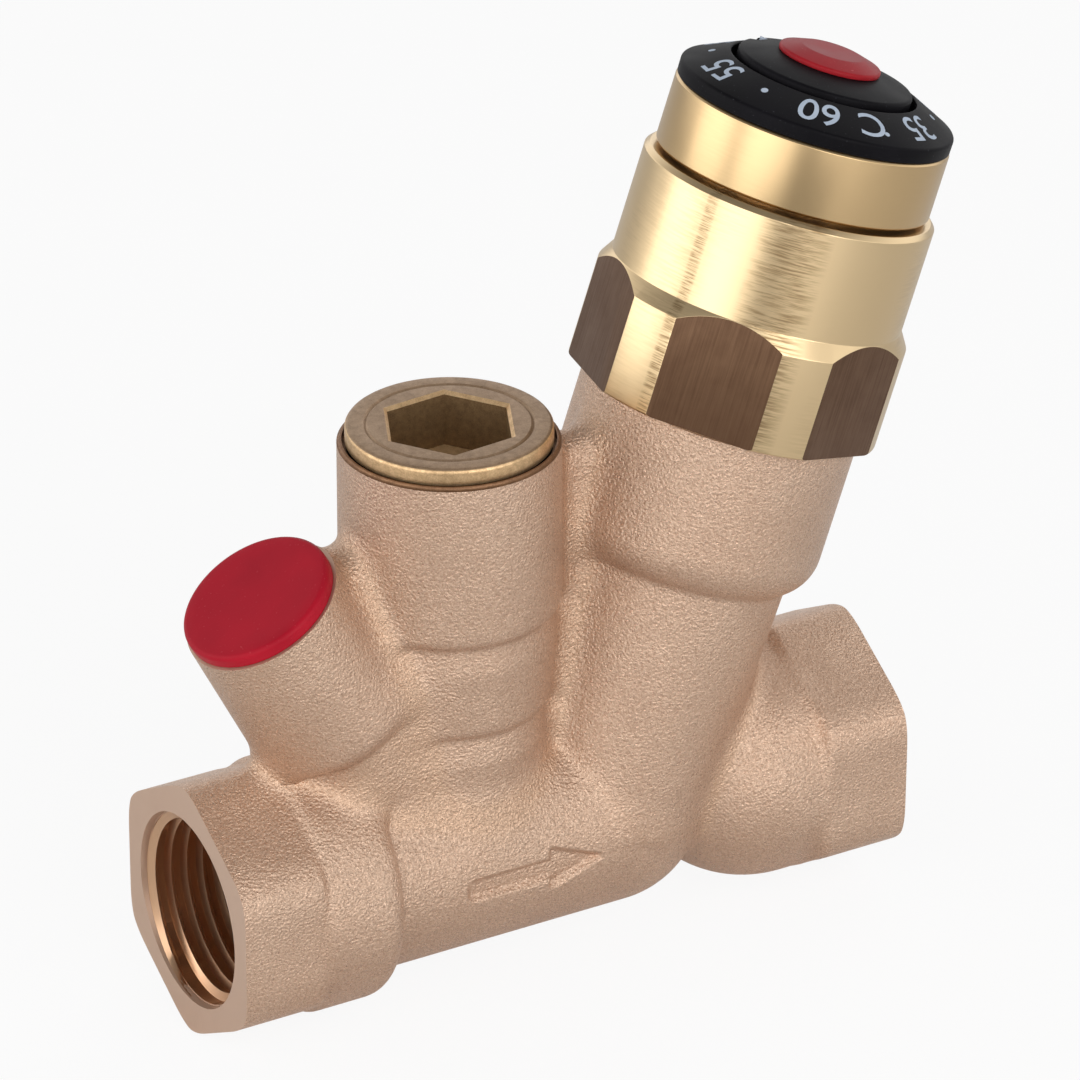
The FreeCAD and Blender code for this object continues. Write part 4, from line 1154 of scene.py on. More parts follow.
        inlet = melt(np.minimum(bare["pipe"], bare["elbow"]), bare["inlet_hexagon"], self.hex_fillet)
        whole = melt(melt(bare["branch"], outlet, self.outlet_fillet), inlet, self.branch_fillet)
        for name, fillet in (("port", self.port_fillet), ("pocket", self.pocket_fillet),
                             ("branch_web", self.web_fillets[0]), ("pocket_web", self.web_fillets[1])):
            whole = melt(whole, bare[name], fillet)
        return whole, np.min(list(bare.values()), axis=0) - whole

    def lay_skin(self, thing: bpy.types.Object) -> None:
        """Move the skin's points onto the blended form, and even them out before each pass and at the end."""
        probes = np.array([(1, -1, -1), (-1, -1, 1), (-1, 1, -1), (1, 1, 1)], dtype=float)
        probe = self.skin_probe
        for _ in range(self.skin_passes):
            even_out(thing.data)
            places = points(thing.data) / MM
            for _ in range(2):
                around = [self.form(places + probe * way)[0] for way in probes]
                slope = sum(way * away[:, None] for way, away in zip(probes, around)) / (4.0 * probe)
                steep = np.maximum((slope * slope).sum(axis=1), self.skin_steep)
                places -= slope * (np.mean(around, axis=0) / steep)[:, None]
            thing.data.vertices.foreach_set("co", (places * MM).astype(np.float32).ravel())
            thing.data.update()
        even_out(thing.data)

    def webs(self) -> list[tuple[list[tuple[float, float]], float, float, float, float]]:
        """Side view, foot and top thickness, shoulder and ridge of the branch's and the pocket's web."""
        lean = math.radians(BRANCH.tilt)
        reach = self.collar / 2.0
        edge_x = BRANCH.place + self.collar_top * math.sin(lean) - reach * math.cos(lean) + self.web_bite
        edge_z = self.collar_top * math.cos(lean) + reach * math.sin(lean)
        top, foot, fall, shoulder = self.branch_web
        base = self.run / 2.0
        corners = [(PORT.place, base), (edge_x, base),
                   (edge_x, edge_z - self.web_bite * math.tan(lean) - fall),
                   (PORT.place + self.port / 2.0, self.port_top - fall), (PORT.place, self.port_top - fall)]
        found = [(corners, foot, top, shoulder, edge_z)]
        tip = math.radians(-POCKET.tilt)
        reach = self.pocket_rim / 2.0 - self.web_bite
        top, foot, fall, shoulder = self.pocket_web
        rim_x = POCKET.place - self.pocket_top * math.sin(tip) + reach * math.cos(tip)
        rim_z = self.pocket_top * math.cos(tip) + reach * math.sin(tip) - fall
        ridge = rim_z + self.pocket_web_rise
        corners = [(PORT.place, base), (PORT.place, ridge), (PORT.place - self.port / 2.0, ridge),
                   (rim_x, rim_z), (rim_x, base)]
        return [*found, (corners, foot, top, shoulder, ridge)]

    def add_web(self, bm: bmesh.types.BMesh, corners: Sequence[tuple[float, float]], foot: float, top: float,
                shoulder: float, ridge: float) -> None:
        """Add one web.

        Args:
            bm: Mesh that takes it.
            corners: Its side view in X and Z.
            foot: Thickness up to the shoulder.
            top: Thickness at the ridge.
            shoulder: Height where it starts to thin.
            ridge: Height of the ridge.
        """
        shell = prism(corners, -foot / 2.0, foot / 2.0)
        bmesh.ops.rotate(shell, matrix=Matrix.Rotation(math.radians(90.0), 3, "X"), verts=shell.verts)
        geom = shell.verts[:] + shell.edges[:] + shell.faces[:]
        bmesh.ops.bisect_plane(shell, geom=geom, dist=CUT, plane_co=(0, 0, shoulder), plane_no=(0, 0, 1))
        for vert in shell.verts:
            share = min(max((vert.co.z - shoulder) / (ridge - shoulder), 0.0), 1.0)
            vert.co.y *= 1.0 + share * (top / foot - 1.0)
        add_shell(bm, shell, UPRIGHT)

    def face_ends(self, thing: bpy.types.Object) -> None:
        """Cut both ends flat, as the lathe faces them."""
        with editing(thing.data) as bm:
            for place, side in ((0.0, -1.0), (self.length * MM, 1.0)):
                edges = slice_off(bm, (place, 0.0, 0.0), (side, 0.0, 0.0))
                made = bmesh.ops.edgeloop_fill(bm, edges=edges, mat_nr=CastFace.FACED.value)
                bmesh.ops.recalc_face_normals(bm, faces=made["faces"])
            bmesh.ops.recalc_face_normals(bm, faces=bm.faces)
        finishes = {CastFace.SKIN: CAST_BRONZE, CastFace.FACED: FACED_BRONZE, CastFace.THREAD: THREAD_BRONZE,
                    CastFace.RIM: DARK_PORT_RIM}
        for kind in CastFace:
            thing.data.materials.append(finishes[kind].material())

    def bores(self) -> Iterable[bpy.types.Object]:
        """Make each bore's cutter when it is needed."""
        yield from self.run_bores()
        yield from self.upper_bores()

    def run_bores(self) -> Iterable[bpy.types.Object]:
        """Cutters of both threaded ends and of the passage from the outlet up to the branch."""
        past = self.spare
        mouth, root, way = (size / 2.0 for size in (self.thread_mouth, self.thread_root, self.waterway))
        lead, depth, bottom = self.thread_lead
        for name, face, inwards in (("inlet", 0.0, 1.0), ("outlet", self.length, -1.0)):
            ring = [(0.0, -past), (mouth, -past), (mouth, 0.0), (lead / 2.0, depth), (lead / 2.0, bottom),
                    (0.0, bottom)]
            profile = [(radius, face + inwards * deep) for radius, deep in ring]
            yield self.cutter(name + "_lead", profile, RUN, CastFace.FACED)
        inlet = [(0.0, -past), (root, -past), (root, self.thread_length), (way, self.thread_length),
                 (way, BRANCH.place), (0.0, BRANCH.place)]
        yield self.cutter("inlet", inlet, RUN, CastFace.THREAD)
        far, crest = self.length, self.thread_crest / 2.0
        end = far - self.thread_length
        floor = end - (crest - way)
        outlet = [(0.0, far + past), (root, far + past), (root, end), (crest, end), (way, floor),
                  (0.0, floor)]
        yield self.cutter("outlet", outlet, RUN, CastFace.THREAD)
        width, lean, reach = self.passage
        yield self.cutter("passage", self.drill(width, reach), TurnedAxis(end, -lean), CastFace.FACED)

    def upper_bores(self) -> Iterable[bpy.types.Object]:
        """Cutters of the branch, the port, the crossover between them and the pocket."""
        seat, throat, height = (self.seat[0] / 2.0, *self.seat[1:])
        lower, below = self.lower_chamber[0] / 2.0, self.lower_chamber[1]
        wide, thread = self.chamber / 2.0, self.bonnet_thread / 2.0
        top = self.collar_top
        floor = top - self.bonnet_thread_length
        branch = [(0.0, -below), (lower, -below), (lower, throat), (seat, throat), (seat, height),
                  (wide, height), (wide, floor), (thread, floor), (thread, top),
                  *self.rim_cut(self.collar, top, self.collar)]
        yield self.cutter("branch", branch, BRANCH, CastFace.FACED)
        wide, seat = self.port_chamber[0] / 2.0, self.port_chamber[1]
        way, thread, recess = self.port_way / 2.0, self.port_thread / 2.0, self.recess / 2.0
        top = self.port_top
        ledge = top - self.recess_depth
        floor = ledge - self.port_thread_length
        port = [(0.0, 0.0), (way, 0.0), (way, seat), (wide, seat), (wide, floor), (thread, floor),
                (thread, ledge), (recess, ledge), (recess, top),
                *self.rim_cut(self.port, top, self.port / 2.0 + self.spare)]
        yield self.cutter("port", port, PORT, CastFace.RIM)
        width, level = self.crossover
        reach = BRANCH.place + level * math.tan(math.radians(BRANCH.tilt)) - PORT.place
        across = TurnedAxis(PORT.place, RUN.tilt, level)
        yield self.cutter("crossover", self.drill(width, reach), across, CastFace.FACED)
        bore, outer = self.pocket_bore / 2.0, self.pocket_rim / 2.0 + self.spare
        top = self.pocket_top
        floor, above = top - self.pocket_depth, top + 2.0 * self.spare
        pocket = [(0.0, floor), (bore, floor), (bore, top), (outer, top), (outer, above), (0.0, above)]
        yield self.cutter("pocket", pocket, POCKET, CastFace.FACED)

    def drill(self, width: float, reach: float) -> list[Corner]:
        """Corners of a plain hole's cutter, from its width and its length."""
        return [(0.0, 0.0), (width / 2.0, 0.0), (width / 2.0, reach), (0.0, reach)]

    def rim_cut(self, width: float, top: float, outer: float) -> list[Corner]:
        """Last corners of a cutter, which round the rim's outer edge and clear what stands above it.

        Args:
            width: Diameter of the rim.
            top: Height of the rim.
            outer: Radius up to which everything above is cleared.

        Returns:
            The corners, up to the axis.
        """
        edge, above = self.rim_edge, top + 2.0 * self.spare
        return [(width / 2.0 - edge, top, -edge), (width / 2.0 + self.rim_past, top - edge),
                (outer, top - edge), (outer, above), (0.0, above)]

    def cutter(self, name: str, profile: Sequence[Corner], axis: TurnedAxis,
               material: CastFace) -> bpy.types.Object:
        """Turned cutter of one bore.

        Args:
            name: Name of the bore.
            profile: Its (radius, height) corners.
            axis: Its axis.
            material: Material index that it leaves on its walls.

        Returns:
            The cutter.
        """
        bm = bmesh.new()
        turn(bm, outline(profile), axis, self.bore_segments, material=material.value)
        return new_object(name + "_bore", bm)

    def arrow_outline(self) -> list[Vector]:
        """Corners of the flow arrow in X and Z."""
        head_length, head_width = self.arrow_head
        end = self.arrow_start + self.arrow_length
        neck = end - head_length
        shaft, head = self.arrow_shaft / 2.0, head_width / 2.0
        tail, barb, tip = self.arrow_rounds
        start = self.arrow_start
        return rounded([(start, -shaft, tail), (neck, -shaft), (neck, -head, barb), (end, 0.0, tip),
                        (neck, head, barb), (neck, shaft), (start, shaft, tail)])

    def at_arrow(self, place: Vector) -> bool:
        """Whether a point of the frame lies on the run's outside near the flow arrow."""
        room = self.arrow_room
        low, high = self.arrow_start - room, self.arrow_start + self.arrow_length + room
        half = self.arrow_head[1] / 2.0 + room
        outside = math.hypot(place.y, place.z) / MM > self.run / 2.0 - room
        return place.y < 0.0 and low < place.x / MM < high and abs(place.z / MM) < half and outside

    def press_arrow(self, thing: bpy.types.Object) -> None:
        """Press the flow arrow into the run's side, with the soft edges that a mould leaves."""
        with editing(thing.data) as bm:
            faces = [face for face in bm.faces if self.at_arrow(face.calc_center_median())]
            edges = {edge for face in faces for edge in face.edges}
            bmesh.ops.subdivide_edges(bm, edges=list(edges), cuts=2, use_grid_fill=True)
            bmesh.ops.triangulate(bm, faces=[face for face in bm.faces if len(face.verts) > 4])
            verts = [vert for vert in bm.verts if self.at_arrow(vert.co)]
            spots = np.array([(vert.co.x, vert.co.z) for vert in verts]) / MM
            for vert, away in zip(verts, flat_distance(spots, self.arrow_outline())):
                outward = Vector((0.0, vert.co.y, vert.co.z)).normalized()
                vert.co -= outward * self.arrow_depth * MM * ease(0.5 - away / self.arrow_slope)

    def cut_threads(self, thing: bpy.types.Object) -> None:
        """Add the ridges of both pipe threads to the plain bores."""
        lead = self.thread_lead[2]
        long = self.thread_pitch * self.thread_turns + 2.0 * self.ridge_flank
        with editing(thing.data) as bm:
            for start in (lead - self.ridge_flank, self.length - lead + self.ridge_flank - long):
                add_shell(bm, self.ridge(start), RUN, CastFace.THREAD.value)

    def ridge(self, start: float) -> bmesh.types.BMesh:
        """Ridge of one pipe thread, which fades out at both ends.

        Args:
            start: Where it starts along the run.

        Returns:
            The closed ridge, sunk a little into the wall.
        """
        shell = bmesh.new()
        crest, root = self.thread_crest / 2.0, self.thread_root / 2.0 + self.ridge_sink
        flank, flat = self.ridge_flank, self.ridge_flat
        first = start + flank
        corners = [(root, -flank), (crest, -flat), (crest, flat), (root, flank)]
        face = shell.faces.new([shell.verts.new((reach, 0.0, first + level)) for reach, level in corners])
        steps = self.thread_steps * self.thread_turns
        bmesh.ops.spin(shell, geom=[face], cent=(0, 0, 0), axis=(0, 0, 1), angle=math.tau * self.thread_turns,
                       steps=steps, dvec=(0, 0, self.thread_pitch * self.thread_turns / steps))
        for vert in shell.verts:
            turned = math.atan2(vert.co.y, vert.co.x) / math.tau % 1.0
            done = turned + round((vert.co.z - first) / self.thread_pitch - turned)
            share = max(ease(min(done, self.thread_turns - done) / self.thread_fade), self.ridge_least)
            reach = math.hypot(vert.co.x, vert.co.y)
            scale = (root + (reach - root) * share) / reach
            vert.co.x *= scale
            vert.co.y *= scale
        return shell

    def mark_creases(self, thing: bpy.types.Object) -> None:
        """Store how deep each point lies in a fillet, as a point attribute."""
        added = self.form(points(thing.data) / MM)[1]
        crease = np.clip((added - self.crease_start) / self.crease_depth, 0.0, 1.0).astype(np.float32)
        thing.data.attributes.new("crease", "FLOAT", "POINT").data.foreach_set("value", crease)


@dataclass
class Bonnet:
    """Brass bonnet turned from hexagon bar, with drawn bar skin left on its flats, painted dark as a painted
    dark reflection.
    """

    flats: float = 30.8
    corner: float = 32.8
    clocking: float = 18.0
    bottom: float = 45.0
    hex_top: float = 55.6
    drum_bottom: float = 57.3
    drum: float = 30.7
    drum_bevel: float = 0.5
    top: float = 68.9
    land: float = 0.4
    land_width: float = 23.2
    boss: float = 18.0
    boss_top: float = 72.3
    spigot: float = 24.9
    spigot_end: float = 34.5
    bore: float = 20.0
    crown: float = 9.4
    stem: float = 9.1
    edge: float = 0.16
    foot_round: float = 0.25
    hex_round: float = 0.3
    drum_round: float = 0.15
    bar_spare: float = 1.0
    weld: float = 0.004
    shortest: float = 0.002
    sharp: float = 30.0
    segments: int = 240

    def build(self) -> None:
        """Turn the blank, keep what lies inside the bar, ease the edges and dress the flats."""
        half, corner, bore = self.drum / 2.0, self.corner / 2.0, self.bore / 2.0
        spigot, land = self.spigot / 2.0, self.land_width / 2.0
        boss, stem = self.boss / 2.0, self.stem / 2.0
        inside, step = self.top - self.crown, self.top + self.land
        profile = rounded([
            (bore, self.spigot_end), (spigot, self.spigot_end), (spigot, self.bottom),
            (corner, self.bottom, self.foot_round), (corner, self.hex_top, self.hex_round),
            (half, self.drum_bottom, self.foot_round), (half, self.top - self.drum_bevel, self.drum_round),
            (half - self.drum_bevel, self.top, self.drum_round), (land, self.top), (land, step), (boss, step),
            (boss, self.boss_top), (stem, self.boss_top), (stem, inside), (bore, inside)])
        thing = turned_object("bonnet_looks", profile, BRANCH, self.segments, BRIGHT_BRASS, BAR_SKIN_PAINTED_DARK)
        low, high = self.spigot_end - self.bar_spare, self.boss_top + self.bar_spare
        bar = bmesh.new()
        add_shell(bar, prism(hexagon(self.flats, self.clocking), low, high), BRANCH, BonnetFace.FLAT.value)
        carve(thing, new_object("bonnet_bar", bar), "INTERSECT")
        self.ease_edges(thing)
        finish_piece(thing, Body.HOUSING, ["bonnet"], self.sharp)

    def ease_edges(self, thing: bpy.types.Object) -> None:
        """Break the edges between the flats and the turned faces."""
        with editing(thing.data) as bm:
            bmesh.ops.remove_doubles(bm, verts=bm.verts, dist=self.weld * MM)
            bmesh.ops.dissolve_degenerate(bm, edges=bm.edges, dist=self.shortest * MM)
            kinds = {kind.value for kind in BonnetFace}
            edges = [edge for edge in bm.edges if len(edge.link_faces) == 2
                     and {face.material_index for face in edge.link_faces} == kinds]
            bmesh.ops.bevel(bm, geom=edges, offset=self.edge * MM, offset_type="OFFSET", affect="EDGES",
                            segments=2, profile=0.5, material=BonnetFace.TURNED.value, clamp_overlap=True)


@dataclass
class ScaleHead:
    """Brass carrier ring and the black dial ring with its printed scale."""

    carrier: float = 28.9
    carrier_bevel: float = 0.3
    land_top: float = 69.3
    carrier_top: float = 76.6
    carrier_bore: float = 23.7
    boss: float = 18.04
    boss_top: float = 72.3
    dial: float = 28.8
    dial_shoulder: float = 78.1
    dial_top: float = 80.4
    dial_hole: float = 19.5
    spigot: float = 23.66
    spigot_length: float = 2.6
    first_mark: float = 295.4
    mark_step: float = 60.0
    numbers: tuple[int, ...] = (35, 40, 45, 50, 55, 60)
    unit_angle: float = 262.8
    degree_angle: float = 269.5
    degree: tuple[float, float] = (0.55, 12.85)
    digit_size: float = 4.5
    digit_weight: float = 0.02
    digit_radius: float = 11.7
    dot: tuple[float, float] = (0.74, 11.6)
    print_sunk: float = 0.05
    print_proud: float = 0.02
    print_step: float = 0.35
    print_cuts: int = 8
    print_cut: float = 1e-6
    carrier_round: float = 0.12
    segments: int = 200
    dial_gap: float = 0.02
    dial_rounds: tuple[float, float, float] = (0.1, 0.45, 0.2)

    def build(self) -> None:
        """Build the carrier, the dial ring and the scale."""
        self.build_carrier()
        self.build_dial()
        self.build_scale()

    def build_carrier(self) -> None:
        """Plain turned ring with eased edges."""
        half, bevel, soft = self.carrier / 2.0, self.carrier_bevel, self.carrier_round
        boss, bore, low, top = self.boss / 2.0, self.carrier_bore / 2.0, self.land_top, self.carrier_top
        profile = rounded([
            (boss, low), (half - bevel, low, soft), (half, low + bevel, soft), (half, top - bevel, soft),
            (half - bevel, top, soft), (bore, top), (bore, self.boss_top), (boss, self.boss_top)])
        thing = turned_object("carrier_looks", profile, BRANCH, self.segments, SATIN_BRASS)
        finish_piece(thing, Body.HOUSING, ["scale_carrier"])

    def build_dial(self) -> None:
        """Moulded ring with a rounded shoulder and a conical face."""
        half, hole, spigot = self.dial / 2.0, self.dial_hole / 2.0, self.spigot / 2.0
        top, gap = self.carrier_top, self.dial_gap
        low = top - self.spigot_length
        foot, shoulder, lip = self.dial_rounds
        profile = rounded([
            (hole, low), (spigot, low), (spigot, top), (half - gap, top + gap, foot),
            (half, self.dial_shoulder, shoulder), (hole, self.dial_top, lip)], steps=5)
        thing = turned_object("dial_looks", profile, BRANCH, self.segments, BLACK_PLASTIC)
        finish_piece(thing, Body.HOUSING, ["dial_ring"])

    def build_scale(self) -> None:
        """Printed numbers, dots and unit, laid on the dial's cone."""
        bm = bmesh.new()
        for index, number in enumerate(self.numbers):
            angle = self.first_mark + index * self.mark_step
            self.lay_print(bm, self.text(str(number)), angle)
            if index + 1 < len(self.numbers):
                self.lay_print(bm, self.spot(*self.dot), angle + self.mark_step / 2.0)
        self.lay_print(bm, self.text("C"), self.unit_angle)
        self.lay_print(bm, self.spot(*self.degree), self.degree_angle)
        finish_piece(new_object("dial_print", bm, PRINT_WHITE), Body.HOUSING)

    def text(self, words: str) -> bmesh.types.BMesh:
        """Flat outline of some characters, centred, in millimetres.

        Args:
            words: Characters to write.

        Returns:
            The flat mesh.
        """
        curve = bpy.data.curves.new("print", "FONT")
        curve.body = words
        curve.size = self.digit_size
        curve.align_x = "CENTER"
        curve.align_y = "CENTER"
        curve.offset = self.digit_weight
        curve.resolution_u = 6
        thing = bpy.data.objects.new("print", curve)
        bpy.context.scene.collection.objects.link(thing)
        graph = bpy.context.evaluated_depsgraph_get()
        mesh = bpy.data.meshes.new_from_object(thing.evaluated_get(graph), depsgraph=graph)
        drop(thing)
        flat = bmesh.new()
        flat.from_mesh(mesh)
        bpy.data.meshes.remove(mesh)
        bmesh.ops.remove_doubles(flat, verts=flat.verts, dist=MERGE)
        for step in range(-self.print_cuts, self.print_cuts + 1):
            geom = flat.verts[:] + flat.edges[:] + flat.faces[:]
            bmesh.ops.bisect_plane(flat, geom=geom, dist=self.print_cut, plane_no=(1, 0, 0),
                                   plane_co=(self.print_step * step, 0, 0))
        return flat

    def spot(self, size: float, reach: float) -> bmesh.types.BMesh:
        """Flat round dot.

        Args:
            size: Its diameter.
            reach: Its distance from the dial's middle.

        Returns:
            The flat mesh.
        """
        flat = bmesh.new()
        shift = reach - self.digit_radius
        bmesh.ops.create_circle(flat, cap_ends=True, segments=24, radius=size / 2.0,
                                matrix=Matrix.Translation((0.0, shift, 0.0)))
        return flat

    def lay_print(self, bm: bmesh.types.BMesh, flat: bmesh.types.BMesh, angle: float) -> None:
        """Give flat print a thickness and lay it on the cone, its top outwards.

        Args:
            bm: Mesh that takes it.
            flat: Flat print; it is freed.
            angle: Place round the dial, in degrees.
        """
        bmesh.ops.recalc_face_normals(flat, faces=flat.faces)
        raise_faces(flat, flat.faces[:], self.print_sunk + self.print_proud)
        outer, inner = self.dial / 2.0, self.dial_hole / 2.0
        slope = math.atan2(self.dial_top - self.dial_shoulder, outer - inner)
        start = self.dial_shoulder + (outer - self.digit_radius) * math.tan(slope)
        for vert in flat.verts:
            across, out, rise = vert.co
            lift = rise - self.print_sunk
            radius = self.digit_radius + out * math.cos(slope) + lift * math.sin(slope)
            height = start - out * math.sin(slope) + lift * math.cos(slope)
            turned_by = math.radians(angle) - across / self.digit_radius
            vert.co = (radius * math.cos(turned_by), radius * math.sin(turned_by), height)
        add_shell(bm, flat, BRANCH)


@dataclass
class SettingHead:
    """Black index disc with its pointer, and the red cap, which turn together."""

    disc: float = 18.3
    hub: float = 12.0
    hub_bottom: float = 74.5
    underside: float = 78.3
    rim: float = 80.9
    crown: float = 81.85
    journal: float = 6.84
    floor: float = 79.0
    well: float = 8.44
    edge: float = 0.4
    notch: tuple[float, float] = (1.8, 1.4)
    pointer_angle: float = 115.4
    pointer_side: float = -0.85
    pointer_rise: float = 0.3
    cap: float = 10.7
    cap_rim: float = 0.55
    cap_height: float = 1.25
    cap_crown: float = 6.5
    cap_wall: float = 0.8
    cap_plug: float = 8.4
    cap_plug_length: float = 1.2
    under_round: float = 0.2
    notch_spare: float = 1.0
    pointer_sink: float = 0.05
    cap_foot: tuple[float, float] = (0.05, 0.02)
    cap_rounds: tuple[float, float, float] = (0.12, 0.3, 0.8)
    cap_hollow: float = 0.06
    disc_segments: int = 160
    cap_segments: int = 128

    def build(self) -> None:
        """Build the disc, the pointer and the cap."""
        self.build_disc()
        self.build_pointer()
        self.build_cap()

    def at_pointer(self, shell: bmesh.types.BMesh) -> bmesh.types.BMesh:
        """Turn a shell to the pointer's place, put it on the branch and free it."""
        turn_by = Matrix.Rotation(math.radians(self.pointer_angle), 3, "Z")
        bmesh.ops.rotate(shell, matrix=turn_by, verts=shell.verts)
        bm = bmesh.new()
        add_shell(bm, shell, BRANCH)
        return bm

    def build_disc(self) -> None:
        """Low cone with a rounded rim and a notch beside the pointer."""
        half, journal, hub, well = (size / 2.0 for size in (self.disc, self.journal, self.hub, self.well))
        profile = rounded([
            (journal, self.hub_bottom), (hub, self.hub_bottom), (hub, self.underside),
            (half, self.underside, self.under_round), (half, self.rim, self.edge),
            (self.cap / 2.0, self.crown), (well, self.crown), (well, self.floor),
            (journal, self.floor)], steps=5)
        thing = turned_object("disc_looks", profile, BRANCH, self.disc_segments, BLACK_PLASTIC)
        side, spare = self.notch[0] / 2.0, self.notch_spare
        inner, outer = half - self.notch[1], half + spare
        corners = [(inner, -side), (outer, -side), (outer, side), (inner, side)]
        shell = prism(corners, self.underside - spare, self.crown + spare)
        carve(thing, new_object("disc_notch", self.at_pointer(shell)))
        finish_piece(thing, Body.SETTING, ["index_disc"])

    def build_pointer(self) -> None:
        """White wedge that fills one side of the notch and points outwards."""
        half = self.disc / 2.0
        inner = half - self.notch[1] - self.pointer_sink
        outer = half - self.edge
        corners = [(inner, self.pointer_side), (outer, self.pointer_side), (inner, -self.pointer_side / 2.0)]
        shell = prism(corners, self.rim - self.pointer_rise, self.rim + self.pointer_rise)
        thing = new_object("pointer_mark", self.at_pointer(shell), PRINT_WHITE)
        finish_piece(thing, Body.SETTING)

    def build_cap(self) -> None:
        """Domed cap with a soft rim."""
        half, plug, crown = self.cap / 2.0, self.cap_plug / 2.0, self.crown
        inner, end = plug - self.cap_wall, crown - self.cap_plug_length
        top = crown + self.cap_height
        inset, lift = self.cap_foot
        foot, rim, dome = self.cap_rounds
        profile = rounded([
            (0.0, crown), (inner, crown), (inner, end), (plug, end), (plug, crown),
            (half - inset, crown + lift, foot), (half, crown + self.cap_rim, rim),
            (self.cap_crown / 2.0, top, dome), (0.0, top - self.cap_hollow)], steps=6)
        thing = turned_object("cap_looks", profile, BRANCH, self.cap_segments, RED_CAP, closed=False)
        finish_piece(thing, Body.SETTING, ["spindle_cap"])


@dataclass
class PortPlug:
    """Dull brass plug with a hexagon socket."""

    flange: float = 21.0
    underside: float = 45.7
    top: float = 47.7
    end: float = 34.0
    shank: float = 16.5
    guide: float = 5.1
    guide_depth: float = 5.5
    edge: float = 0.5
    socket: float = 12.0
    socket_depth: float = 6.0
    socket_bevel: float = 0.35
    clocking: float = 5.0
    ring: tuple[float, float, float] = (8.2, 0.5, 0.2)
    ring_round: float = 0.06
    under_round: float = 0.3
    face_depth: float = 0.3
    face_share: float = 0.45
    upright: float = 0.1
    level: float = 0.9
    sharp: float = 26.0
    segments: int = 192

    def build(self) -> None:
        """Turn the plug and broach its socket."""
        half, guide, shank = self.flange / 2.0, self.guide / 2.0, self.shank / 2.0
        inner, width, depth = self.ring
        roof, top = self.end + self.guide_depth, self.top
        profile = rounded([
            (0.0, roof), (guide, roof), (guide, self.end), (shank, self.end), (shank, self.underside),
            (half, self.underside, self.under_round), (half, top, self.edge),
            (inner + width, top, self.ring_round), (inner + width / 2.0, top - depth),
            (inner, top, self.ring_round), (0.0, top)])
        bm = bmesh.new()
        turn(bm, profile, PORT, self.segments)
        # The flat top gets the plug face; the rounded edge and sides get the paler edge finish, a painted
        # highlight.
        for face in bm.faces:
            middle = face.calc_center_median()
            reach = math.hypot(middle.x / MM - PORT.place, middle.y / MM)
            flat = middle.z / MM > top - self.face_depth and reach < half - self.face_share * self.edge
            face.material_index = (PlugFace.TOP if flat else PlugFace.EDGE).value
        thing = new_object("plug_looks", bm, PLUG_FACE, PLUG_EDGE_PAINTED_HIGHLIGHT, PLUG_SOCKET_PAINTED_SHADE, PLUG_FLOOR_PAINTED_LIGHT)
        carve(thing, self.broach())
        finish_piece(thing, Body.HOUSING, ["port_plug"], self.sharp)

    def broach(self) -> bpy.types.Object:
        """Cutter of the socket, with its bevelled mouth."""
        floor = self.top - self.socket_depth
        shell = prism(hexagon(self.socket, self.clocking), floor, self.top - self.socket_bevel)
        roof = [face for face in shell.faces if face.normal.z > self.level]
        over = 2.0 * self.socket_bevel
        scale = (self.socket + 2.0 * over) / self.socket
        tops = raise_faces(shell, roof, over)
        bmesh.ops.delete(shell, geom=roof, context="FACES")
        bmesh.ops.scale(shell, vec=(scale, scale, 1.0), verts=tops)
        bm = bmesh.new()
        add_shell(bm, shell, PORT)
        # Socket floor gets painted light, its walls painted shade and its bevel a painted highlight.
        for face in bm.faces:
            steep = abs(face.normal.z)
            flat = PlugFace.FLOOR if steep > self.level else PlugFace.EDGE
            face.material_index = (PlugFace.SOCKET if steep < self.upright else flat).value
        return new_object("socket_broach", bm)


@dataclass
class PocketPlug:
    """Red push-in plug of the sensor pocket."""

    rim: float = 16.2
    rim_height: float = 1.5
    bottom: float = 37.6
    shank: float = 12.96
    length: float = 9.0
    wall: float = 1.2
    edge: float = 0.55
    lip: float = 0.2
    face_width: float = 1.6
    face_fall: float = 0.1
    segments: int = 128

    def build(self) -> None:
        """Turn the plug with a softly rounded rim."""
        half, shank, low = self.rim / 2.0, self.shank / 2.0, self.bottom
        inner, end, top = shank - self.wall, low - self.length, low + self.rim_height
        profile = rounded([
            (0.0, low), (inner, low), (inner, end), (shank, end), (shank, low), (half, low, self.lip),
            (half, top, self.edge), (half - self.face_width, top), (0.0, top - self.face_fall)], steps=6)
        thing = turned_object("pocket_plug_looks", profile, POCKET, self.segments, RED_PLUG, closed=False)
        finish_piece(thing, Body.HOUSING, ["pocket_plug"])


@dataclass
class InnerWorks:
    """CAD pieces that keep their own shape and only get a finish."""

    finishes: dict[str, Any] = field(default_factory=lambda: {
        "bonnet_seal": SEAL_RUBBER, "spindle_seals": SEAL_RUBBER, "cone_seal": SEAL_RUBBER,
        "port_gasket": SEAL_RUBBER, "bypass_seal": SEAL_RUBBER,
        "setting_spindle": INNER_BRASS, "spring_sleeve": INNER_BRASS, "bypass_cone": PORT_BRASS,
        "retaining_ring": SPRING_STEEL, "spring_plate": SPRING_STEEL, "element_piston": SPRING_STEEL,
        "lock_screw": SPRING_STEEL, "wax_element": DRAWN_COPPER,
        "thrust_washer": PALE_PLASTIC, "control_cone": PALE_PLASTIC,
    })

    def dress(self, nodes: dict[str, bpy.types.Object]) -> None:
        """Give each CAD node its finish.

        Args:
            nodes: The frame's nodes by name.
        """
        for name, finish in self.finishes.items():
            slots = nodes[name].data.materials
            slots.clear()
            slots.append(finish.material())
            LOG.info("%s: dressed in %s", name, finish.name)


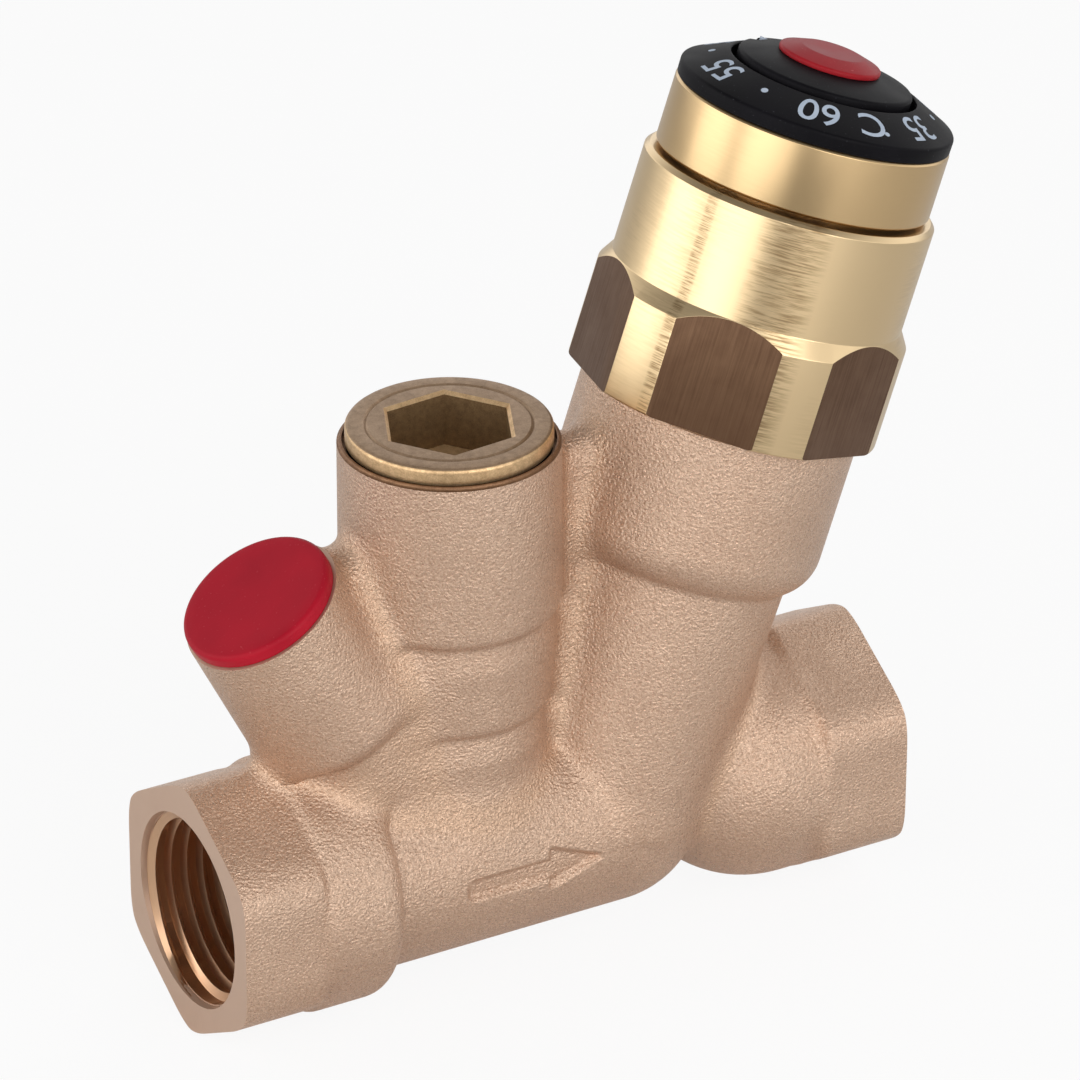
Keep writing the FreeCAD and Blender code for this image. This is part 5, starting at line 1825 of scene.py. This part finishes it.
@dataclass(frozen=True)
class Spring:
    """A coil spring of the CAD model and what squeezes it.

    Attributes:
        node: CAD node of the spring.
        axis: Axis that it lies on.
        ends: Bodies that its upper and its lower end follow, where one joint joins them.
        joint: Joint that squeezes it towards its lower end, where no single joint joins its bodies.
        travel: Travel of that joint; not used.
    """

    node: str
    axis: TurnedAxis
    ends: tuple[Body, Body] = (Body.HOUSING, Body.HOUSING)
    joint: str = ""
    travel: float = 0.0


@dataclass
class Springs:
    """Coil springs with the CAD model's own form."""

    springs: tuple[Spring, ...] = (
        Spring("overtravel_spring", BRANCH, ends=(Body.SLEEVE, Body.PLATE)),
        Spring("bypass_spring", PORT, ends=(Body.HOUSING, Body.BYPASS)),
        Spring("return_spring", BRANCH, joint="cone_stroke", travel=2.2),
    )

    def build(self, nodes: dict[str, bpy.types.Object]) -> None:
        """Make each spring from a copy of its CAD form.

        Args:
            nodes: The frame's nodes by name.
        """
        for spring in self.springs:
            bm = bmesh.new()
            bm.from_mesh(nodes[spring.node].data)
            bmesh.ops.transform(bm, matrix=nodes[spring.node].matrix_world, verts=bm.verts)
            thing = new_object(f"{spring.node}_looks", bm, SPRING_STEEL)
            heights = spring.axis.local(points(thing.data) / MM)[:, 2]
            levels = (heights.min(), heights.max())
            low, high = (spring.axis.matrix() @ Vector((0.0, 0.0, level)) for level in levels)
            if spring.joint:
                finish_piece(thing, Body.HOUSING, (spring.node,), sharp=0.0)
                tuple(low)
                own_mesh(thing)
            else:
                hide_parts(spring.node)
                tuple(high)
                tuple(low)
                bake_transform(thing)
                LOG.info("%s: between %s and %s", thing.name, spring.ends[0].value, spring.ends[1].value)


@dataclass(frozen=True)
class Lamp:
    """A square area lamp that shines on the object.

    Attributes:
        name: Name of the lamp.
        swing: Angle round the object from the camera, positive to the right, in degrees.
        rise: Angle above the horizon, in degrees.
        power: Power in watts.
        away: Distance from the object, in metres.
        size: Side of the lamp, in metres.
    """

    name: str
    swing: float
    rise: float
    power: float
    away: float
    size: float


@dataclass
class Studio:
    """Pale floor, soft lamps, white surroundings and the camera at the photograph's viewing angle."""

    target: tuple[float, float, float] = (41.018, 0.0, 31.664)
    azimuth: float = -29.997
    elevation: float = 27.788
    roll: float = 0.221
    distance: float = 709.36
    lens: float = 232.76
    sensor: float = 36.0
    floor_height: float = -14.3
    floor_size: float = 6.0
    floor_glow: float = 0.9
    around: float = 0.84
    mirrored: float = 1.3
    overhead: float = 0.2
    shade: float = 0.4
    floor_tones: tuple[float, float] = (0.9, 0.93)
    floor_reach: tuple[float, float] = (0.1, 0.22)
    floor_clouds: float = 30.0
    dark_side: tuple[float, float] = (32.0, 18.0)
    dark_heights: tuple[float, float] = (0.1, 0.35)
    sky_heights: tuple[float, float] = (0.25, 0.85)
    nearest: float = 0.01
    farthest: float = 20.0
    lamps: tuple[Lamp, ...] = (
        Lamp("lamp_right", swing=33.0, rise=24.0, power=2.0, away=0.7, size=0.55),
        Lamp("lamp_left", swing=-32.0, rise=20.0, power=1.35, away=0.7, size=0.55),
        Lamp("lamp_side", swing=-84.0, rise=16.0, power=1.1, away=0.8, size=0.5),
        Lamp("lamp_back", swing=150.0, rise=48.0, power=0.6, away=0.8, size=0.5),
    )

    def build(self) -> None:
        """Set up everything that isn't part of the object."""
        bpy.context.scene.view_settings.view_transform = "Standard"
        self.place_camera()
        self.place_lamps()
        self.lay_floor()
        self.light_surroundings()

    def view(self) -> tuple[Vector, Vector, Vector]:
        """Directions from the target to the camera, to the right and up in the image."""
        back, turn_by = direction(self.azimuth, self.elevation), math.radians(self.azimuth)
        right = Vector((math.cos(turn_by), math.sin(turn_by), 0.0))
        return back, right, back.cross(right)

    def place_camera(self) -> None:
        """Camera fitted to the photograph."""
        back, right, up = self.view()
        lean = math.radians(self.roll)
        across = right * math.cos(lean) + up * math.sin(lean)
        upward = up * math.cos(lean) - right * math.sin(lean)
        data = bpy.data.cameras.new("camera")
        data.lens = self.lens
        data.sensor_width = self.sensor
        data.clip_start = self.nearest
        data.clip_end = self.farthest
        camera = bpy.data.objects.new("camera", data)
        place = (Vector(self.target) + back * self.distance) * MM
        turned = Matrix((across, upward, back)).transposed().to_4x4()
        camera.matrix_world = Matrix.Translation(place) @ turned
        bpy.context.scene.collection.objects.link(camera)
        bpy.context.scene.camera = camera

    def place_lamps(self) -> None:
        """Large soft lamps at both sides of the camera, and weak ones further left and behind the object."""
        for lamp in self.lamps:
            back = direction(self.azimuth + lamp.swing, lamp.rise)
            data = bpy.data.lights.new(lamp.name, "AREA")
            data.shape = "SQUARE"
            data.size = lamp.size
            data.energy = lamp.power
            thing = bpy.data.objects.new(lamp.name, data)
            thing.location = Vector(self.target) * MM + back * lamp.away
            thing.rotation_euler = back.to_track_quat("Z", "Y").to_euler()
            bpy.context.scene.collection.objects.link(thing)

    def lay_floor(self) -> None:
        """Pale floor that keeps a soft shadow."""
        bm = bmesh.new()
        bmesh.ops.create_grid(bm, x_segments=2, y_segments=2, size=self.floor_size / 2.0)
        bmesh.ops.translate(bm, vec=(0.0, 0.0, self.floor_height * MM), verts=bm.verts)
        floor = new_object("floor", bm)
        material = bpy.data.materials.new("pale_floor")
        material.use_nodes = True
        wires = Wiring(material.node_tree)
        material.node_tree.nodes.remove(material.node_tree.nodes["Principled BSDF"])
        where = wires.add("TexCoord").outputs["Object"]
        clouds = wires.noise(where, self.floor_clouds, detail=3.0)
        tone = wires.ramp(clouds, low=0.3, high=0.7)
        pale = wires.blend(tone, *(grey(level) for level in self.floor_tones))
        away = wires.vector("SUBTRACT", where, Vector(self.target) * MM)
        length = wires.add("VectorMath", {0: away}, operation="LENGTH").outputs["Value"]
        far = wires.ramp(length, *self.floor_reach)
        ahead = wires.math("MULTIPLY", self.in_front(wires, away), far)
        mirrored = wires.math("MULTIPLY", ahead, wires.add("LightPath").outputs["Is Glossy Ray"])
        colour = wires.blend(mirrored, pale, grey(self.shade))
        matte = wires.add("BsdfDiffuse", {"Color": colour})
        glow = wires.add("Emission", {"Color": grey(1.0), "Strength": 1.0})
        share = wires.math("MULTIPLY", seen_directly(wires), self.floor_glow)
        both = wires.add("MixShader", {0: share, 1: matte.outputs[0], 2: glow.outputs[0]})
        wires.feed(material.node_tree.nodes["Material Output"].inputs["Surface"], both.outputs[0])
        floor.data.materials.append(material)

    def in_front(self, wires: Wiring, way: Any) -> bpy.types.NodeSocket:
        """Factor that is 1 for directions towards the room's dark side, in front of the object.

        Args:
            wires: Wiring of the node tree.
            way: Directions or places seen from the object.

        Returns:
            The factor.
        """
        back = self.view()[0]
        front = Vector((back.x, back.y, 0.0)).normalized()
        return wires.towards(way, front, *self.dark_side)

    def light_surroundings(self) -> None:
        """White surroundings, lit greyer from overhead, with darker reflections behind the camera."""
        world = bpy.data.worlds.new("surroundings")
        world.use_nodes = True
        bpy.context.scene.world = world
        wires = Wiring(world.node_tree)
        nodes = world.node_tree.nodes
        soft = nodes["Background"]
        soft.inputs["Strength"].default_value = self.around
        way = wires.add("TexCoord").outputs["Generated"]
        height = wires.add("SeparateXYZ", {0: way}).outputs[2]
        sky = wires.blend(wires.ramp(height, *self.sky_heights), grey(1.0), grey(self.overhead))
        wires.feed(soft.inputs["Color"], sky)
        low_down = wires.ramp(height, *self.dark_heights, bottom=1.0, top=0.0)
        ahead = wires.math("MULTIPLY", self.in_front(wires, way), low_down)
        room = wires.blend(ahead, sky, grey(self.shade))
        mirrored = wires.add("Background", {"Color": room, "Strength": self.mirrored})
        white = wires.add("Background", {"Color": grey(1.0), "Strength": 1.0})
        glossy = wires.add("LightPath").outputs["Is Glossy Ray"]
        lit = wires.add("MixShader", {0: glossy, 1: soft.outputs[0], 2: mirrored.outputs[0]})
        both = wires.add("MixShader", {0: seen_directly(wires), 1: lit.outputs[0], 2: white.outputs[0]})
        wires.feed(nodes["World Output"].inputs["Surface"], both.outputs[0])


def seen_directly(wires: Wiring) -> bpy.types.NodeSocket:
    """Factor that is 1 for what the camera sees, also through clear pieces."""
    path = wires.add("LightPath")
    return wires.math("MAXIMUM", path.outputs["Is Camera Ray"], path.outputs["Is Transmission Ray"])


def main() -> None:
    """Build every sub-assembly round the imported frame."""
    logging.basicConfig(level=logging.INFO, format="%(name)s %(message)s")
    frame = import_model()
    Studio().build()
    Casting().build()
    Bonnet().build()
    ScaleHead().build()
    SettingHead().build()
    PortPlug().build()
    PocketPlug().build()
    InnerWorks().dress(frame["nodes"])
    Springs().build(frame["nodes"])


if __name__ == "__main__":
    main()
